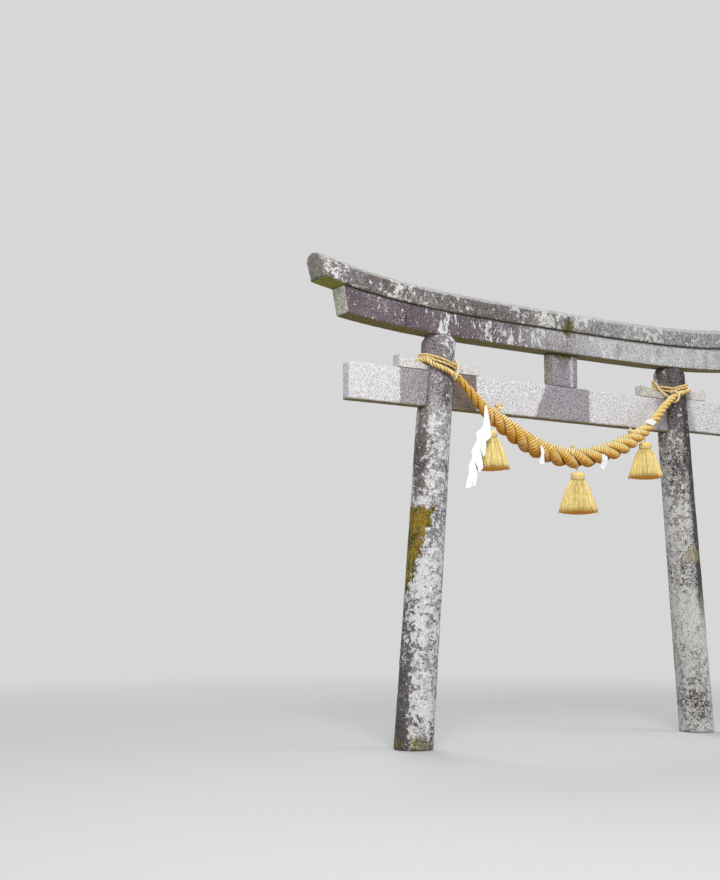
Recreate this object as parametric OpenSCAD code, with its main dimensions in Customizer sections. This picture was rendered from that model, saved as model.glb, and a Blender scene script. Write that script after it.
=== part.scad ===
// Stone gate in millimetres. +X runs to the right as seen from the front, the front faces -Y,
// +Z is up, and the origin lies on the ground midway between the two pillars.

/* [Pillars] */
// Distance between the pillar axes at ground level
pillar_spacing = 2786; // [2500:1:3200]
// Height of the lower lintel's underside above the ground, at the middle of the gate
pillar_height = 2955; // [2800:1:3400]
// Diameter of a pillar at the ground
pillar_foot_d = 280; // [250:1:320]
// Diameter of a pillar under the lintel
pillar_top_d = 252; // [220:1:280]
// Inward lean of each pillar, in degrees
pillar_lean = 4.3; // [3:0.1:5]

/* [Tie beam] */
// Height of the tie beam's underside above the ground
tie_z = 2428; // [2250:1:2500]
// Height of the tie beam's face
tie_h = 270; // [200:1:280]
// Thickness of the tie beam, front to back
tie_t = 96; // [70:1:120]
// Length of the tie beam
tie_len = 3944; // [3500:1:4200]
// Side play of the tie beam in each pillar's mortise
tie_play = 3; // [1:0.5:6]
// How much higher the separate stone outside the right pillar sits than the tie beam
end_lift = 22; // [0:1:30]
// Joint between the tie beam and that stone, inside the right pillar
tie_joint = 2; // [1:0.5:6]

/* [Wedges] */
// Height of a wedge at its outer end
wedge_far_h = 97; // [80:1:120]
// Height of the mortise above the tie beam, which the wedge fills at the pillar's face
wedge_head_h = 45; // [30:1:60]
// Distance from the pillar's axis to a wedge's outer end
wedge_reach = 361; // [300:1:420]
// Distance from the right pillar's axis to its raised outer wedge's outer end
raised_wedge_reach = 373; // [300:1:420]
// Distance from the pillar's axis to a wedge's thin end
wedge_tip = 14; // [5:1:40]
// Thickness of a wedge, front to back
wedge_t = 88; // [60:1:94]

/* [Strut] */
// Width of the strut between the tie beam and the lintel
strut_w = 280; // [180:1:340]
// Thickness of the strut, front to back
strut_t = 78; // [60:1:110]

/* [Lintels] */
// Height of the lower lintel at the middle
lintel_h = 175; // [140:1:220]
// Depth of the lower lintel, front to back
lintel_t = 172; // [140:1:200]
// Length of the lower lintel along its underside
lintel_len = 4010; // [3700:1:4200]
// Rise of the lower lintel's underside at its ends
lintel_rise = 73; // [0:1:150]
// How much taller the lower lintel is at its ends than at the middle
lintel_swell = 16; // [0:1:40]
// Height of the cap's front face at the middle
cap_h = 119; // [90:1:180]
// Depth of the cap, front to back
cap_t = 208; // [204:1:260]
// Length of the cap along its underside
cap_len = 4410; // [4240:1:4600]
// How much taller the cap's face is above the lower lintel's ends than at the middle
cap_swell = 15; // [0:1:40]
// Height of the cap's ridge above its front edge
cap_ridge_h = 45; // [10:1:60]
// Power of the upward curve, which keeps the middle nearly straight
curve_power = 3.65; // [2:0.05:5]
// Outward lean of the lower lintel's end faces, in degrees
lintel_end_lean = 12; // [0:1:20]
// Outward lean of the cap's end faces, in degrees
cap_end_lean = 16; // [0:1:24]

/* [Straw rope] */
// Distance of the rope's middle line in front of the gate's middle plane
rope_y = 170; // [168:1:200]
// Thickness of the rope's tail where its first turn crosses a pillar
turn_thick_d = 40; // [30:1:44]
// Thickness of the rope's tail in its upper turns
turn_thin_d = 15; // [10:1:18]
// Gap between straw and what it lies on
straw_gap = 0.8; // [0.3:0.1:1]

/* [Tassels] */
// Thickness of the cord that is looped round the rope
loop_d = 10; // [6:1:14]
// Thickness of a tassel's hanging cord
tassel_cord_d = 15; // [8:1:20]
// Width of the eye by which a tassel hangs on its loop
tassel_eye_w = 20; // [12:1:24]
// Length of the left tassel's hanging cord, from its eye to the bound head
cord_len_left = 30; // [15:1:80]
// Length of the centre tassel's hanging cord
cord_len_centre = 15; // [15:1:80]
// Length of the right tassel's hanging cord
cord_len_right = 22; // [15:1:80]
// Size of the left tassel beside the measures that follow
size_left = 0.94; // [0.8:0.01:1.1]
// Size of the centre tassel beside the measures that follow
size_centre = 1.01; // [0.8:0.01:1.1]
// Size of the right tassel beside the measures that follow
size_right = 0.92; // [0.8:0.01:1.1]
// Diameter of a tassel's bound head
head_d = 105; // [80:1:130]
// Height of a tassel's bound head
head_h = 53; // [40:1:80]
// Diameter of a tassel's skirt at its hem
skirt_d = 296; // [220:1:320]
// Length of a tassel's skirt below the head
skirt_h = 256; // [180:1:300]
// Height of the hollow under the skirt
skirt_hollow = 22; // [0:1:40]

/* [Paper streamers] */
// Thickness of a folded paper streamer
paper_t = 2; // [1:0.5:4]

/* [Hidden] */

LEFT = -1;
RIGHT = 1;
OUTER = 1;
INNER = -1;
STONE = "#8f8791";
PALE_STONE = "#b5b2b4";
STRAW = "#d9a53c";
PAPER = "#f7f6f2";

tie_top = tie_z + tie_h;
mortise_top = tie_top + wedge_head_h;
curve_step = lintel_len / 2 / 16;
// The cap's ridge falls to the front and back along a power curve, in this many facets on each side
ridge_power = 2.6;
ridge_facets = 4;
// The wedge is held this much under the mortise's edge
wedge_slack = 0.5;

// The pillar's axis and radius at a height above the ground
function pillar_x(z) = pillar_spacing / 2 - z * tan(pillar_lean);
function pillar_r(z) = (pillar_foot_d + (pillar_top_d - pillar_foot_d) * z / pillar_height) / 2;

// The tie beam ends inside the right pillar, and the raised stone outside starts there
joint_x = pillar_x(tie_top);

// The lintels rise towards their ends along a power curve, which is cut into straight facets
function upturn(x) = pow(abs(x) / (lintel_len / 2), curve_power);
function on_facets(x) = let (k = floor(abs(x) / curve_step), t = abs(x) / curve_step - k)
    upturn(k * curve_step) * (1 - t) + upturn((k + 1) * curve_step) * t;
function underside(x) = pillar_height + lintel_rise * on_facets(x);
function bed(x) = pillar_height + lintel_h + (lintel_rise + lintel_swell) * on_facets(x);
function eaves(x) = bed(x) + cap_h + cap_swell * on_facets(x);
function facet_xs(length) = [for (k = [0 : floor(length / 2 / curve_step - 0.1)]) k * curve_step];

// An outline in X and Z, given its thickness along Y
module across(thickness) {
    rotate([90, 0, 0]) linear_extrude(thickness, center = true) children();
}

// A closed solid through a row of rings that have equal numbers of points
module loft(rings) {
    n = len(rings[0]);
    last = len(rings) - 1;
    polyhedron(
        points = [for (ring = rings) each ring],
        faces = [
            [for (j = [0 : n - 1]) j],
            for (i = [0 : last - 1], j = [0 : n - 1])
                [i * n + j, (i + 1) * n + j, (i + 1) * n + (j + 1) % n, i * n + (j + 1) % n],
            [for (j = [n - 1 : -1 : 0]) last * n + j]
        ]
    );
}

// Rings of a round tube along a route of points, with a radius at each point
function unit(v) = v / norm(v);
function heading(route, i) =
    unit(route[min(i + 1, len(route) - 1)] - route[max(i - 1, 0)]);
function tube_ring(centre, along, r, up, sides) =
    let (u = unit(cross(along, up)), v = cross(along, u))
    [for (k = [0 : sides - 1]) centre + r * (cos(360 * k / sides) * u + sin(360 * k / sides) * v)];
module tube(route, radii, up, sides) {
    loft([for (i = [0 : len(route) - 1]) tube_ring(route[i], heading(route, i), radii[i], up, sides)]);
}

module pillar(side) {
    overrun = 60;
    slope_len = pillar_height / cos(pillar_lean);
    taper = (pillar_foot_d - pillar_top_d) / 2 / slope_len;
    shade = side == LEFT ? STONE : "#98939a";
    color(shade) difference() {
        intersection() {
            translate([side * pillar_spacing / 2, 0, 0])
                rotate([0, -side * pillar_lean, 0])
                translate([0, 0, -overrun])
                cylinder(
                    h = slope_len + 2 * overrun,
                    r1 = pillar_foot_d / 2 + overrun * taper,
                    r2 = pillar_top_d / 2 - overrun * taper,
                    $fn = 64
                );
            across(2 * pillar_foot_d) below_lintel(side);
        }
        mortise(side);
    }
}

// The room between the ground and the lower lintel on one side of the gate
function last_of(list) = list[len(list) - 1];
module below_lintel(side) {
    xs = facet_xs(lintel_len);
    polygon([
        [0, 0],
        [side * last_of(xs), 0],
        for (k = [len(xs) - 1 : -1 : 0]) [side * xs[k], underside(xs[k])]
    ]);
}

// The hole through a pillar for the tie beam and its wedges, higher on the right pillar's outer side
module mortise_half(x, way, lift) {
    width = 1.5 * pillar_foot_d;
    translate([way == OUTER ? x : x - width, -tie_t / 2 - tie_play, tie_z + lift])
        cube([width, tie_t + 2 * tie_play, tie_h + wedge_head_h]);
}
module mortise(side) {
    x = side * joint_x;
    mortise_half(x, side * INNER, 0);
    mortise_half(x, side * OUTER, side == RIGHT ? end_lift : 0);
}

module pillar_left() pillar(LEFT);
module pillar_right() pillar(RIGHT);

module tie_stone(x1, x2, z) {
    color(PALE_STONE) translate([x1, -tie_t / 2, z]) cube([x2 - x1, tie_t, tie_h]);
}
module tie_beam() tie_stone(-tie_len / 2, joint_x - tie_joint / 2, tie_z);
module tie_end_right() tie_stone(joint_x + tie_joint / 2, tie_len / 2, tie_z + end_lift);

// A wedge driven between the tie beam and the head of the mortise, from outside or from inside
module wedge(side, way, reach, lift) {
    axis = pillar_x(mortise_top + lift);
    face = pillar_r(mortise_top + lift);
    seat_h = wedge_head_h - wedge_slack;
    slope = (wedge_far_h - seat_h) / (reach - face);
    tip_h = seat_h - (face - wedge_tip) * slope;
    color(PALE_STONE) across(wedge_t) polygon([
        for (p = [[wedge_tip, 0], [reach, 0], [reach, wedge_far_h], [wedge_tip, tip_h]])
            [side * (axis + way * p[0]), tie_top + lift + p[1]]
    ]);
}

module wedge_left_outer() wedge(LEFT, OUTER, wedge_reach, 0);
module wedge_left_inner() wedge(LEFT, INNER, wedge_reach, 0);
module wedge_right_inner() wedge(RIGHT, INNER, wedge_reach, 0);
module wedge_right_outer() wedge(RIGHT, OUTER, raised_wedge_reach, end_lift);

module centre_strut() {
    color(STONE) translate([-strut_w / 2, -strut_t / 2, tie_top])
        cube([strut_w, strut_t, pillar_height - tie_top]);
}

// Half of the lower lintel, from the joint over the strut to its leaning end face
module lower_lintel(side) {
    foot = lintel_len / 2;
    xs = facet_xs(lintel_len);
    foot_z = underside(foot);
    head = foot + (bed(foot) - foot_z) * tan(lintel_end_lean);
    top_xs = facet_xs(2 * head);
    color(STONE) across(lintel_t) polygon([
        for (x = xs) [side * x, underside(x)],
        [side * foot, foot_z],
        [side * head, bed(head)],
        for (k = [len(top_xs) - 1 : -1 : 0]) [side * top_xs[k], bed(top_xs[k])]
    ]);
}

module lower_lintel_left() lower_lintel(LEFT);
module lower_lintel_right() lower_lintel(RIGHT);

// Cross-section of the cap at one station: a flat bed, upright faces and a low arched ridge
function cap_ring(side, x, lean) =
    let (half = cap_t / 2, z0 = bed(x), z1 = eaves(x))
    [
        for (p = [
            [-half, z0], [half, z0],
            for (k = [ridge_facets : -1 : -ridge_facets])
                [half * k / ridge_facets, z1 + cap_ridge_h * (1 - pow(abs(k) / ridge_facets, ridge_power))]
        ])
        [side * (x + (p[1] - z0) * lean), p[0], p[1]]
    ];

module cap(side) {
    xs = facet_xs(cap_len);
    rings = concat(
        [for (x = xs) cap_ring(side, x, 0)],
        [cap_ring(side, cap_len / 2, tan(cap_end_lean))]
    );
    ordered = side == RIGHT ? rings : [for (k = [len(rings) - 1 : -1 : 0]) rings[k]];
    color("#a39fa3") loft(ordered);
}

module cap_left() cap(LEFT);
module cap_right() cap(RIGHT);

// The rope's route, chosen by hand: X and Z of its middle line, and its radius there
rope_stations = [
    [-1128, 2645, 24], [-1090, 2614, 24.5], [-1040, 2570, 28], [-995, 2530, 34], [-950, 2489, 39],
    [-905, 2451, 44], [-860, 2417, 51], [-801, 2381, 60], [-745, 2348, 66], [-696, 2321, 69],
    [-640, 2293, 72], [-591, 2266, 74], [-510, 2226, 77], [-430, 2190, 78], [-310, 2155, 78],
    [-199, 2134, 78], [-90, 2124, 78], [17, 2126, 78], [120, 2142, 78], [226, 2168, 78],
    [340, 2203, 76], [448, 2244, 72], [550, 2294, 66], [645, 2353, 57], [690, 2379, 52],
    [725, 2401, 48], [765, 2432, 43], [805, 2469, 39], [870, 2533, 35.5], [925, 2591, 32],
    [979, 2639, 29], [1023, 2677, 27.5], [1060, 2700, 27]
];
rope_route = [for (s = rope_stations) [s[0], -rope_y, s[1]]];
rope_radii = [for (s = rope_stations) s[2]];
function rope_z(x) = lookup(x, [for (s = rope_stations) [s[0], s[1]]]);
function rope_r(x) = lookup(x, [for (s = rope_stations) [s[0], s[2]]]);
function rope_slope(x) = atan2(rope_z(x + 20) - rope_z(x - 20), 40);

module straw_rope() {
    color(STRAW) tube(rope_route, rope_radii, [0, 1, 0], 12);
}

// Both tails wind round their pillar. A turn's angle runs from the front round the outer side.
// The heights at each angle are chosen by hand: a turn hangs down at the front, where the rope pulls
// it, rests on the wedges at the pillar's sides and lies highest at the back.
left_heights = [
    [8, 2692], [26, 2710], [41, 2728], [49, 2739], [62, 2761], [76, 2772], [90, 2773], [124, 2784], [150, 2792],
    [180, 2796], [235, 2790], [270, 2762], [290, 2755], [322, 2716], [336, 2722], [370, 2742],
    [402, 2765], [410, 2774], [422, 2788], [436, 2798], [450, 2799], [484, 2811], [510, 2818], [540, 2822],
    [595, 2812], [630, 2782], [650, 2772], [682, 2740], [698, 2744], [712, 2753], [747, 2779],
    [770, 2796], [782, 2805], [796, 2815], [810, 2817], [844, 2830], [870, 2837], [900, 2842], [955, 2835], [985, 2807]
];
right_heights = [
    [8, 2752], [30, 2769], [43, 2779], [90, 2794], [124, 2804], [180, 2812], [235, 2806],
    [270, 2777], [279, 2773], [297, 2762], [311, 2756], [331, 2762], [355, 2780], [403, 2808],
    [450, 2822], [484, 2836], [540, 2842], [600, 2832], [630, 2800], [640, 2795], [655, 2791],
    [668, 2787], [678, 2777], [688, 2779], [711, 2796], [763, 2828], [810, 2844], [844, 2857],
    [900, 2865], [960, 2857], [985, 2827]
];
// The tail leaves the rope's end and swings in to the front of the pillar through these points
left_lead = [[-1150, -164, 2659], [-1168, -156, 2671], [-1187, -151, 2682]];
right_lead = [[1084, -164, 2712], [1112, -157, 2723], [1145, -153, 2735], [1172, -151, 2744]];
turn_rings = 72;
turn_step = (last_of(left_heights)[0] - left_heights[0][0]) / turn_rings;
// The tail is thick up to the first of these angles and thin from the second
taper_start = 124;
taper_end = 270;
function tail_r(a) = lookup(a, [[taper_start, turn_thick_d / 2], [taper_end, turn_thin_d / 2]]);
function tail_centre(side, heights, a) =
    let (
        z = lookup(a, heights),
        reach = (pillar_r(z) / cos(pillar_lean) + tail_r(a) + straw_gap) / cos(turn_step / 2)
    )
    [side * (pillar_x(z) + reach * sin(a)), -reach * cos(a), z];
function turns(side, heights) =
    [for (k = [0 : turn_rings]) tail_centre(side, heights, heights[0][0] + k * turn_step)];

module rope_wrap(side, end, end_r, onward, lead, heights) {
    start = end + onward * straw_gap / 2;
    run = concat([start, start + 8 * onward], lead);
    color(STRAW) tube(
        concat(run, turns(side, heights)),
        concat(
            [for (k = [0 : len(run) - 1]) end_r + (tail_r(0) - end_r) * k / len(run)],
            [for (k = [0 : turn_rings]) tail_r(heights[0][0] + k * turn_step)]
        ),
        [0, 0, 1], 8
    );
}
rope_last = len(rope_route) - 1;
module rope_wrap_left()
    rope_wrap(LEFT, rope_route[0], rope_radii[0], -heading(rope_route, 0), left_lead, left_heights);
module rope_wrap_right()
    rope_wrap(
        RIGHT, rope_route[rope_last], rope_radii[rope_last], heading(rope_route, rope_last),
        right_lead, right_heights
    );

// Each tail's thin end comes forward over the other turns and is hitched round the rope
module wrap_knot(side, heights, route) {
    wound = turns(side, heights);
    onward = heading(wound, turn_rings);
    start = last_of(wound) + onward * straw_gap / 2;
    run = concat([start, start + 6 * onward], route);
    color(STRAW) tube(run, [for (p = run) turn_thin_d / 2], [1, 0, 0], 8);
}
module wrap_knot_left()
    wrap_knot(LEFT, left_heights, [
        [-1047, -22, 2797], [-1052, -52, 2790], [-1067, -87, 2780], [-1089, -115, 2770],
        [-1101, -130, 2759], [-1104, -149, 2738], [-1118, -172, 2706], [-1143, -197, 2668],
        [-1158, -197, 2640], [-1156, -176, 2620]
    ]);
module wrap_knot_right()
    wrap_knot(RIGHT, right_heights, [
        [1033, -8, 2817], [1029, -20, 2795], [1029, -38, 2772], [1034, -55, 2752], [1047, -80, 2728],
        [1057, -110, 2701], [1059, -130, 2680], [1061, -150, 2662], [1061, -173, 2656],
        [1063, -198, 2666], [1072, -208, 2693], [1070, -204, 2724], [1062, -178, 2744],
        [1056, -151, 2744], [1053, -134, 2732]
    ]);
// Where each tassel's loop goes round the rope
tassel_x_left = -794;
tassel_x_centre = 5;
tassel_x_right = 690;
// Gap between a tassel's eye and the loop that it hangs on
hook_gap = 0.3;
// The axis on which a tassel swings: the middle of its eye, straight under the loop's lowest point
function swing_axis(x) =
    let (reach = rope_r(x) + straw_gap + loop_d / 2, tilt = rope_slope(x))
    [
        x + reach * sin(tilt),
        -rope_y,
        rope_z(x) - reach * cos(tilt) - (loop_d + tassel_cord_d) / 2 - hook_gap
    ];

// A ring of cord round the rope, in the plane across the rope
module tassel_loop(x) {
    color(STRAW) translate([x, -rope_y, rope_z(x)])
        rotate([0, 90 - rope_slope(x), 0])
        rotate_extrude($fn = 48)
        translate([rope_r(x) + straw_gap + loop_d / 2, 0])
        circle(d = loop_d, $fn = 16);
}
module tassel_loop_left() tassel_loop(tassel_x_left);
module tassel_loop_centre() tassel_loop(tassel_x_centre);
module tassel_loop_right() tassel_loop(tassel_x_right);

// A twisted cord that ends in an eye, which turns on the loop
module tassel_cord(x, cord_len) {
    color(STRAW) translate(swing_axis(x)) union() {
        rotate([0, 90, 0]) cylinder(d = tassel_cord_d, h = tassel_eye_w, center = true, $fn = 32);
        translate([0, 0, -cord_len]) cylinder(d = tassel_cord_d, h = cord_len, $fn = 32);
    }
}
module tassel_cord_left() tassel_cord(tassel_x_left, cord_len_left);
module tassel_cord_centre() tassel_cord(tassel_x_centre, cord_len_centre);
module tassel_cord_right() tassel_cord(tassel_x_right, cord_len_right);

// The bound head: a short drum with rounded shoulders and a waist in the middle of its binding
module tassel_head(x, cord_len, size) {
    r = head_d / 2;
    shoulder = 10;
    waist_r = 0.97 * r;
    foot_r = 0.94 * r;
    color("#d8922f") translate(swing_axis(x) - [0, 0, cord_len + size * head_h])
        rotate_extrude($fn = 48)
        scale(size)
        polygon([
            [0, 0], [foot_r, 0], [r, head_h / 5], [waist_r, head_h / 2], [r, head_h - 1.5 * shoulder],
            for (a = [15 : 25 : 90]) [r - shoulder + shoulder * cos(a), head_h - shoulder + shoulder * sin(a)],
            [0, head_h]
        ]);
}
module tassel_head_left() tassel_head(tassel_x_left, cord_len_left, size_left);
module tassel_head_centre() tassel_head(tassel_x_centre, cord_len_centre, size_centre);
module tassel_head_right() tassel_head(tassel_x_right, cord_len_right, size_right);

// The skirt flares quickly under the head, then falls more steeply, and is hollowed underneath
skirt_flare = 0.72;
module tassel_skirt(x, cord_len, size) {
    top_r = 0.47 * head_d;
    hem_r = skirt_d / 2;
    steps = 10;
    color("#e2bf63") translate(swing_axis(x) - [0, 0, cord_len + size * (head_h + skirt_h)])
        rotate_extrude($fn = 48)
        scale(size)
        polygon([
            [0, skirt_hollow],
            [hem_r / 2, 0.8 * skirt_hollow],
            for (k = [0 : steps]) [top_r + (hem_r - top_r) * pow(1 - k / steps, skirt_flare), skirt_h * k / steps],
            [0, skirt_h]
        ]);
}
module tassel_skirt_left() tassel_skirt(tassel_x_left, cord_len_left, size_left);
module tassel_skirt_centre() tassel_skirt(tassel_x_centre, cord_len_centre, size_centre);
module tassel_skirt_right() tassel_skirt(tassel_x_right, cord_len_right, size_right);

// A cut and folded paper, hung from the front of the rope at X, its outline measured from there
module paper(x, tilt, outline) {
    color(PAPER) translate([x, -rope_y - rope_r(x) - straw_gap / 2, rope_z(x)])
        rotate([-tilt, 0, 0]) translate([0, -paper_t / 2, 0])
        across(paper_t) polygon(outline);
}

module paper_streamer_long() {
    paper(-905, 16, [
        [-11, -4], [10, 2], [3, -60], [-4, -115], [-2, -217], [-7, -252], [-71, -295], [-93, -393],
        [-116, -416], [-123, -380], [-140, -480], [-146, -507], [-185, -539], [-236, -640],
        [-323, -671], [-329, -658], [-305, -610], [-269, -541], [-267, -492], [-204, -399],
        [-214, -377], [-133, -262], [-141, -232], [-68, -175], [-50, -119], [-29, -55]
    ]);
}
module paper_streamer_left() {
    paper(-410, 0, [[-17, -2], [7, 0], [21, -37], [24, -134], [-29, -141], [-18, -70]]);
}
module paper_streamer_right() {
    paper(205, 0, [[-17, 3], [8, -2], [39, -20], [21, -90], [-5, -119], [-35, -109], [-8, -54]]);
}
module paper_streamer_top() {
    paper(768, 0, [[2, -4], [-8, 2], [-44, 9], [-92, 24], [-48, 47], [1, 47], [39, 34]]);
}

pillar_left();
pillar_right();
tie_beam();
tie_end_right();
wedge_left_outer();
wedge_left_inner();
wedge_right_inner();
wedge_right_outer();
centre_strut();
lower_lintel_left();
lower_lintel_right();
cap_left();
cap_right();
straw_rope();
rope_wrap_left();
rope_wrap_right();
wrap_knot_left();
wrap_knot_right();
tassel_loop_left();
tassel_loop_centre();
tassel_loop_right();
tassel_cord_left();
tassel_cord_centre();
tassel_cord_right();
tassel_head_left();
tassel_head_centre();
tassel_head_right();
tassel_skirt_left();
tassel_skirt_centre();
tassel_skirt_right();
paper_streamer_long();
paper_streamer_left();
paper_streamer_right();
paper_streamer_top();
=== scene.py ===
# %% [markdown]
# # A stone gate hung with a straw rope
# The packed solids are the fixed frame of this scene: every stone and every cord already has its
# size and place there. This lesson dresses them. It starts with the measures that the cords need,
# then the camera and the studio, then one finish at a time, and last the pieces themselves.

# %% Load the frame
import math
import random

import bmesh
import bpy
from mathutils import Matrix, Vector, noise
from mathutils.bvhtree import BVHTree


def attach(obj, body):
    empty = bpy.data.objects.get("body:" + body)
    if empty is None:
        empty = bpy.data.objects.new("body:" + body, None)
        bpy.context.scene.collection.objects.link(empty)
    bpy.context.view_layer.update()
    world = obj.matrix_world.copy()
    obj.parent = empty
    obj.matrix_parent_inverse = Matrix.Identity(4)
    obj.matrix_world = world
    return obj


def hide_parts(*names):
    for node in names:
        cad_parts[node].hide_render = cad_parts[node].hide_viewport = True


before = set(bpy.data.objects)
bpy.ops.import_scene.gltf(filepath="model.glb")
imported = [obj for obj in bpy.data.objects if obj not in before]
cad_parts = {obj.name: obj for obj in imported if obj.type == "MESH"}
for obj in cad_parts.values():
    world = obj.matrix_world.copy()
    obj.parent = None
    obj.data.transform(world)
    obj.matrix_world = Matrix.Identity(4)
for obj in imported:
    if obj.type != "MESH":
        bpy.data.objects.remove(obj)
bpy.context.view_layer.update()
MM = 0.001

# %% [markdown]
# ## The routes of the straw
# The rope hangs in front of the gate between the pillars, and each of its tails winds round a
# pillar a little over two and a half times. Both follow the solids' own lines, so the numbers are
# the solids' own. Between those stations the line has to be smooth, or a kink would show in every
# strand. A Catmull-Rom curve is a good choice, because it passes through each station.

# %% Stations of the rope: X, Z and radius in millimetres
ROPE_Y = -170
rope_stations = [
    (-1128, 2645, 24), (-1090, 2614, 24.5), (-1040, 2570, 28), (-995, 2530, 34), (-950, 2489, 39),
    (-905, 2451, 44), (-860, 2417, 51), (-801, 2381, 60), (-745, 2348, 66), (-696, 2321, 69),
    (-640, 2293, 72), (-591, 2266, 74), (-510, 2226, 77), (-430, 2190, 78), (-310, 2155, 78),
    (-199, 2134, 78), (-90, 2124, 78), (17, 2126, 78), (120, 2142, 78), (226, 2168, 78),
    (340, 2203, 76), (448, 2244, 72), (550, 2294, 66), (645, 2353, 57), (690, 2379, 52),
    (725, 2401, 48), (765, 2432, 43), (805, 2469, 39), (870, 2533, 35.5), (925, 2591, 32),
    (979, 2639, 29), (1023, 2677, 27.5), (1060, 2700, 27),
]


def smooth_line(stations, step):
    """Rows of numbers through the stations, about one step apart, on a Catmull-Rom curve."""
    rows = []
    last = len(stations) - 1
    for i in range(last):
        before, start, end, after = (stations[min(max(i + k, 0), last)] for k in (-1, 0, 1, 2))
        cuts = max(1, round(math.dist(start[:3], end[:3]) / step))
        for cut in range(cuts):
            t = cut / cuts
            rows.append(tuple(
                0.5 * (2 * b + (c - a) * t + (2 * a - 5 * b + 4 * c - d) * t * t
                       + (3 * b - a - 3 * c + d) * t ** 3)
                for a, b, c, d in zip(before, start, end, after)
            ))
    return rows + [stations[-1]]


def metres(rows):
    """Each row's point in metres, and its radius."""
    return [(Vector(r[:3]) * MM, r[3] * MM) for r in rows]


def length_of(line):
    """Length of a line of points and radii, in metres."""
    return sum((a[0] - b[0]).length for a, b in zip(line, line[1:]))


rope_line = metres(smooth_line([(x, ROPE_Y, z, r) for x, z, r in rope_stations], 2.5))
rope_length = length_of(rope_line)
print("rope", round(rope_length, 3), "m,", len(rope_line), "points")

# %% [markdown]
# A tail leaves the rope's end, swings in to the pillar and climbs round it. Its angle runs from the
# front round the outer side, and its height at each angle is the solids' own table. A helix with
# an even climb would be simpler, but these turns are tilted: each rises to the back and comes down
# again on the inner side.

# %% The tails' tables: angle in degrees and height in millimetres
# The pillars' spacing at the ground, height, foot and top diameters and lean.
SPACING, HEIGHT, FOOT_D, TOP_D, LEAN = 2786, 2955, 280, 252, math.radians(4.3)
# A tail's radius where it is thick and thin, its gap from the stone, and its turns by angle.
THICK_R, THIN_R, STRAW_GAP = 20, 7.5, 0.8
TURN_START, TURN_END, TURN_RINGS = 8, 985, 72
left_heights = [
    (8, 2692), (26, 2710), (41, 2728), (49, 2739), (62, 2761), (76, 2772), (90, 2773), (124, 2784),
    (150, 2792), (180, 2796), (235, 2790), (270, 2762), (290, 2755), (322, 2716), (336, 2722),
    (370, 2742), (402, 2765), (410, 2774), (422, 2788), (436, 2798), (450, 2799), (484, 2811),
    (510, 2818), (540, 2822), (595, 2812), (630, 2782), (650, 2772), (682, 2740), (698, 2744),
    (712, 2753), (747, 2779), (770, 2796), (782, 2805), (796, 2815), (810, 2817), (844, 2830),
    (870, 2837), (900, 2842), (955, 2835), (985, 2807),
]
right_heights = [
    (8, 2752), (30, 2769), (43, 2779), (90, 2794), (124, 2804), (180, 2812), (235, 2806),
    (270, 2777), (279, 2773), (297, 2762), (311, 2756), (331, 2762), (355, 2780), (403, 2808),
    (450, 2822), (484, 2836), (540, 2842), (600, 2832), (630, 2800), (640, 2795), (655, 2791),
    (668, 2787), (678, 2777), (688, 2779), (711, 2796), (763, 2828), (810, 2844), (844, 2857),
    (900, 2865), (960, 2857), (985, 2827),
]
left_lead = [(-1150, -164, 2659), (-1168, -156, 2671), (-1187, -151, 2682)]
right_lead = [(1084, -164, 2712), (1112, -157, 2723), (1145, -153, 2735), (1172, -151, 2744)]
left_hitch = [
    (-1047, -22, 2797), (-1052, -52, 2790), (-1067, -87, 2780), (-1089, -115, 2770),
    (-1101, -130, 2759), (-1104, -149, 2738), (-1118, -172, 2706), (-1143, -197, 2668),
    (-1158, -197, 2640), (-1156, -176, 2620),
]
right_hitch = [
    (1033, -8, 2817), (1029, -20, 2795), (1029, -38, 2772), (1034, -55, 2752), (1047, -80, 2728),
    (1057, -110, 2701), (1059, -130, 2680), (1061, -150, 2662), (1061, -173, 2656),
    (1063, -198, 2666), (1072, -208, 2693), (1070, -204, 2724), (1062, -178, 2744),
    (1056, -151, 2744), (1053, -134, 2732),
]


def between(table, x):
    """The value at x in a table of pairs, on straight lines between them."""
    for (x1, y1), (x2, y2) in zip(table, table[1:]):
        if x <= x2:
            return y1 + (y2 - y1) * max(0, x - x1) / (x2 - x1)
    return table[-1][1]


def tail_point(side, heights, angle):
    """X, Y, Z and radius of a tail's middle line at an angle round its pillar."""
    z, r = between(heights, angle), between([(124, THICK_R), (270, THIN_R)], angle)
    pillar_r = (FOOT_D + (TOP_D - FOOT_D) * z / HEIGHT) / 2
    half_step = math.radians(TURN_END - TURN_START) / TURN_RINGS / 2
    reach = (pillar_r / math.cos(LEAN) + r + STRAW_GAP) / math.cos(half_step)
    a = math.radians(angle)
    x = side * (SPACING / 2 - z * math.tan(LEAN) + reach * math.sin(a))
    return (x, -reach * math.cos(a), z, r)


def tail_stations(side, heights, lead):
    """A tail's stations, from the rope's end to the end of its last turn."""
    end_row, next_row = rope_stations[:2] if side < 0 else rope_stations[:-3:-1]
    rope_end, inner = (Vector((x, ROPE_Y, z)) for x, z, r in (end_row, next_row))
    rope_r, onward = end_row[2], (rope_end - inner).normalized()
    start = [tuple(rope_end + onward * d) for d in (0.4, 8)] + lead
    run = [(*p, rope_r + (THICK_R - rope_r) * k / len(start)) for k, p in enumerate(start)]
    angles = [TURN_START + (TURN_END - TURN_START) * k / TURN_RINGS for k in range(TURN_RINGS + 1)]
    return run + [tail_point(side, heights, a) for a in angles]


left_tail = tail_stations(-1, left_heights, left_lead)
right_tail = tail_stations(1, right_heights, right_lead)
for side, stations in (("left", left_tail), ("right", right_tail)):
    print(side, "tail", len(stations), "stations,", round(length_of(metres(stations)), 3), "m")

# %% [markdown]
# ## The camera
# It stands to the left of the gate at eye level and looks slightly up. Place and lens come from
# fitting the straight edges of the gate, so the frame matches the photograph without any shift.

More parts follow.
